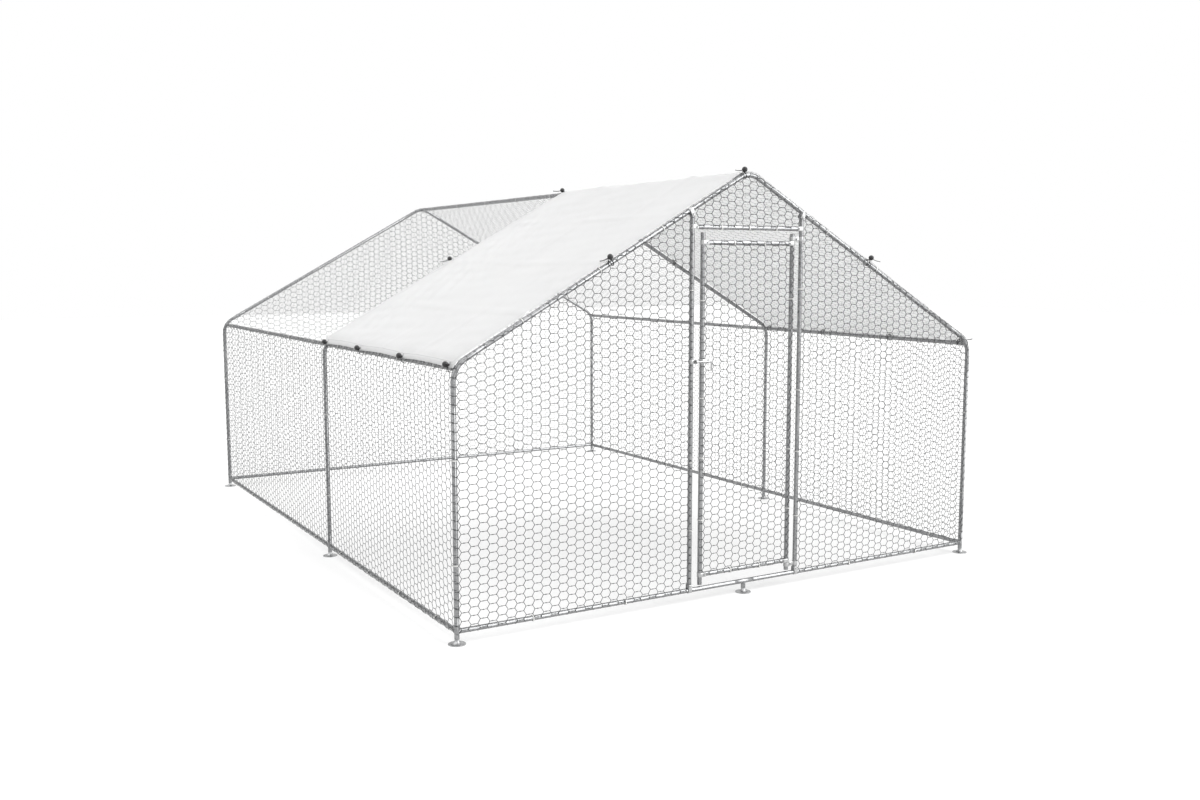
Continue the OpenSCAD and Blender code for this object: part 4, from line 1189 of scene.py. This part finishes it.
def slacken(piece, seed):
    # hand-stretched netting: rows wander a little and no gap is quite like the next
    points = readPoints(piece)
    u, v = points[:, 0], points[:, 1]
    wander = net["wander"]
    moved = points.copy()
    moved[:, 0] += wander * wave(2.6 * u + seed, 2.1 * v) + net["kinkU"] * wave(17 * u, 15 * v + seed)
    moved[:, 1] += wander * wave(2.2 * u - 1.7 * seed, 2.9 * v + 2.0) + net["kinkV"] * wave(16 * u + seed, 13 * v)
    moved[:, 2] += net["kinkOut"] * wave(9 * u, 8 * v + seed)
    writePoints(piece, moved)


wallStraight = eaveCentre.z - run["baseRail"]
wallLength = wallStraight + eaveTurn / 2 * run["bend"]
slopeLength = slopeHalf(run["bend"])


def upWall(s):
    # X and Z up the left wall from the base rail round the elbow to the eave rail, and the line's rise
    angle = np.clip(s - wallStraight, 0, wallLength - wallStraight) / run["bend"]
    x = eaveCentre.x - run["bend"] * np.cos(angle)
    z = run["baseRail"] + np.clip(s, 0, wallStraight) + run["bend"] * np.sin(angle)
    return x, z, math.pi / 2 - angle


def upSlope(s):
    # the same from the eave rail up the left slope to the ridge
    x, z, lean = downSlope(slopeLength - np.clip(s, 0, slopeLength), run["bend"])
    return -x, z, lean


def tuck(distance, r):
    # how far along and how far out a point lies that is wrapped past a tube's crown
    angle = np.clip(distance, 0, None) / r
    return r * np.sin(angle), np.cos(angle)


def drawWallNet(name, unit, line, length, off, seed, sag):
    # laid along a centreline, with every edge turned over the tube that carries it
    wrap = net["wrap"]
    yLow, yHigh = front - wrap, rear + wrap
    piece = drawNetting(unit, yLow - net["spare"], -wrap - net["spare"], yHigh, length + wrap, name)
    slacken(piece, seed)
    trim(piece, [((yLow, 0), (-1, 0)), ((yHigh, 0), (1, 0)), ((0, -wrap), (0, -1)), ((0, length + wrap), (0, 1))])
    y, s, w = readPoints(piece).T
    before, beforeCos = tuck(-s, off)
    after, afterCos = tuck(s - length, off)
    left, leftCos = tuck(front - y, off)
    right, rightCos = tuck(y - rear, off)
    out = (off + w) * beforeCos * afterCos * leftCos * rightCos
    inside = np.sin(math.pi * np.clip(s / length, 0, 1))
    for yStart, yEnd in bays:
        belly = np.sin(math.pi * np.clip((y - yStart) / (yEnd - yStart), 0, 1))
        out -= sag * inside ** 0.8 * belly ** 0.8
        out += net["wallWave"] * inside * belly * wave(4.0 * y + seed, 4.4 * s)
    x, z, rise = line(s)
    along = after - before
    y = np.clip(y, front, rear) - left + right
    writePoints(piece, np.stack([x + np.cos(rise) * along - np.sin(rise) * out, y,
                                 z + np.sin(rise) * along + np.cos(rise) * out], -1))
    return piece


# the roof netting takes the lighter painted copy of the wire finish, a painted light
for node, unit, finish, line, length, off, seed, sag in (
        ("side_net", wallUnit, netWire, upWall, wallLength, net["off"], netSeed["side"], net["wallSag"]),
        ("roof_net", roofUnit, litRoofWire, upSlope, slopeLength, net["roofOff"], netSeed["roof"], cover["sag"])):
    leftNet = drawWallNet(node + "_left_wire", unit, line, length, off, seed, sag)
    rightNet = copyAt(leftNet, mirrorX, node + "_right_wire")
    hand(leftNet, finish, "frame", "netting", node + "_left")
    hand(rightNet, finish, "frame", "netting", node + "_right")
print("side and roof netting drawn")

# Gable and door panels; on some edges they turn over their tubes, on the others they are cut on them

panel = {"wrap": 0.011, "spareLow": 0.05, "spareHigh": 0.02, "bellyFrom": 0.02, "bellyTo": 0.4, "belly": 0.004,
         "past": 0.001, "browIn": 0.006, "arcSteps": 4}


def outlineCuts(outline, beyond):
    # a convex outline given anticlockwise, as cutting lines moved outwards
    cuts = []
    for (u, v), (nextU, nextV), out in zip(outline, outline[1:] + outline[:1], beyond):
        length = math.hypot(nextU - u, nextV - v)
        nu, nv = (nextV - v) / length, (u - nextU) / length
        cuts.append(((u + nu * out, v + nv * out), (nu, nv)))
    return cuts


def drawFlatNet(name, unit, outline, loose, seed, behind=False):
    # loose names the outline's edges that aren't wrapped
    beyond = [0.0 if i in loose else panel["wrap"] for i in range(len(outline))]
    us, vs = zip(*outline)
    piece = drawNetting(unit, min(us) - panel["spareLow"], min(vs) - panel["spareLow"],
                        max(us) + panel["spareHigh"], max(vs) + panel["spareHigh"], name)
    slacken(piece, seed)
    cuts = outlineCuts(outline, beyond)
    trim(piece, cuts)
    points = readPoints(piece)
    off = net["off"]
    past = np.full(len(points), -1.0)
    normal = np.zeros((len(points), 2))
    for i, ((u, v), (nu, nv)) in enumerate(cuts):
        if i not in loose:
            distance = (points[:, 0] - u) * nu + (points[:, 1] - v) * nv + beyond[i]
            closer = distance > past
            past = np.where(closer, distance, past)
            normal = np.where(closer[:, None], np.array([nu, nv]), normal)
    along, shrink = tuck(past, off)
    points[:, :2] += normal * (along - np.clip(past, 0, None))[:, None]
    out = (off + points[:, 2]) * shrink
    # a slight belly away from the tubes
    depth = np.clip(-past - panel["bellyFrom"], 0, panel["bellyTo"]) / panel["bellyTo"]
    out += panel["belly"] * depth * wave(3.3 * points[:, 0] + seed, 3.7 * points[:, 1])
    y = rear + out if behind else front - out
    writePoints(piece, np.stack([points[:, 0], y, points[:, 1]], -1))
    if behind:
        piece.data.flip_normals()
    return piece


def arcPoints(centre, start, end):
    angles = [start + (end - start) * i / panel["arcSteps"] for i in range(panel["arcSteps"] + 1)]
    return [(centre.x + run["bend"] * math.cos(angle), centre.z + run["bend"] * math.sin(angle)) for angle in angles]


def rafterHeight(x):
    return run["ridge"] - abs(x) * math.tan(slope)


eaveCurve = arcPoints(eaveCentre, math.pi - eaveTurn, math.pi)
ridgeCurve = arcPoints(ridgeCentre, math.pi / 2 - slope, math.pi / 2 + slope)
rightCurve = [(-x, z) for x, z in reversed(eaveCurve)]
wide, low = run["halfWidth"], run["baseRail"]
endOutline = [(-wide, low), (wide, low)] + rightCurve + ridgeCurve + eaveCurve
rearNet = drawFlatNet("rear_net_wire", wallUnit, endOutline, (), netSeed["rear"], True)
hand(rearNet, netWire, "frame", "netting", "rear_net")

jamb = -door["post"] - panel["past"]
leftOutline = [(-wide, low), (jamb, low), (jamb, rafterHeight(jamb))] + eaveCurve
leftFront = drawFlatNet("front_left", frontUnit, leftOutline, (1,), netSeed["front"])
rightFront = copyAt(leftFront, mirrorX)
brow = door["post"] - panel["browIn"]
sill = door["lintel"] + panel["past"]
browTop = rafterHeight(brow)
browOutline = [(-brow, sill), (brow, sill), (brow, browTop)] + ridgeCurve + [(-brow, browTop)]
browNet = drawFlatNet("front_brow", frontUnit, browOutline, (0, 1, len(browOutline) - 1), netSeed["brow"])
hand(join([leftFront, rightFront, browNet], "front_net_wire"), netWire, "frame", "netting", "front_net")

doorLeft, doorRight = door["latch"] - panel["past"], door["hinge"] + panel["past"]
doorLow, doorHigh = door["low"] - panel["past"], door["high"] + panel["past"]
doorOutline = [(doorLeft, doorLow), (doorRight, doorLow), (doorRight, doorHigh), (doorLeft, doorHigh)]
doorNet = drawFlatNet("door_net_wire", frontUnit, doorOutline, (), netSeed["door"])
hand(doorNet, netWire, "door", "netting", "door_net")
drop(wallUnit, roofUnit, frontUnit)
print("gable and door netting drawn")

# Camera at the photograph's stand

view = {"place": (-3.350, -6.264, 1.572), "yaw": 0.538, "pitch": -0.118, "lens": 34.257, "sensor": 36.0, "far": 200}
eye = bpy.data.cameras.new("photoCamera")
eye.lens = view["lens"]
eye.sensor_width = view["sensor"]
eye.clip_end = view["far"]
camera = bpy.data.objects.new("photoCamera", eye)
camera.location = view["place"]
camera.rotation_euler = (math.pi / 2 + view["pitch"], 0, -view["yaw"])
bpy.context.scene.collection.objects.link(camera)
bpy.context.scene.camera = camera

# Floor and light

light = {"ambient": 0.5, "strip": 0.96, "stripSoft": 0.5, "stripHeights": (12, 42, 72), "stripSide": 0.55,
         "stripReach": 0.835, "fill": 1.64, "fillSoft": 1.6, "fillFrom": (-0.5, 0.0, 0.87), "floor": 60,
         "floorDrop": 0.0005, "floorShade": 0.45, "floorLift": 0.58}


def rayShare(tree):
    # 1 where the camera, a reflection or a clear body looks at the surroundings
    path = addNode(tree, "ShaderNodeLightPath").outputs
    seen = reckon(tree, "MAXIMUM", path["Is Camera Ray"], path["Is Glossy Ray"])
    return reckon(tree, "MAXIMUM", seen, path["Is Transmission Ray"])


surround = bpy.data.worlds.new("studio")
bpy.context.scene.world = surround
surround.use_nodes = True
tree = surround.node_tree
level = addNode(tree, "ShaderNodeMapRange", {"Value": rayShare(tree), "To Min": light["ambient"], "To Max": 1.0})
feed(tree, tree.nodes["Background"], {"Color": (1, 1, 1, 1), "Strength": level.outputs["Result"]})

letGo()
bpy.ops.mesh.primitive_plane_add(size=light["floor"], location=(0, 0, -light["floorDrop"]))
floor = bpy.context.object
floor.name = "studio_floor"
paper, tree, shader = newFinish("floorPaper")
shade = light["floorShade"]
feed(tree, shader, {"Base Color": (shade, shade, shade, 1), "Roughness": 1.0, "Specular IOR Level": 0.0,
                    "Emission Color": (1, 1, 1, 1),
                    "Emission Strength": reckon(tree, "MULTIPLY", rayShare(tree), light["floorLift"])})
floor.data.materials.append(paper)


def addSun(name, strength, soft, towards):
    lamp = bpy.data.lights.new(name, "SUN")
    lamp.energy = strength
    lamp.angle = soft
    sun = bpy.data.objects.new(name, lamp)
    sun.rotation_euler = Vector(towards).to_track_quat("Z", "Y").to_euler()
    bpy.context.scene.collection.objects.link(sun)


# a strip of soft light that arches from the front over the right, and a broad fill from the left
for height in light["stripHeights"]:
    angle = math.radians(height)
    addSun("stripLight", light["strip"], light["stripSoft"],
           (light["stripSide"], -light["stripReach"] * math.cos(angle), light["stripReach"] * math.sin(angle)))
addSun("fillLight", light["fill"], light["fillSoft"], light["fillFrom"])
bpy.context.scene.view_settings.view_transform = "Standard"
print("camera and light set")

letGo()
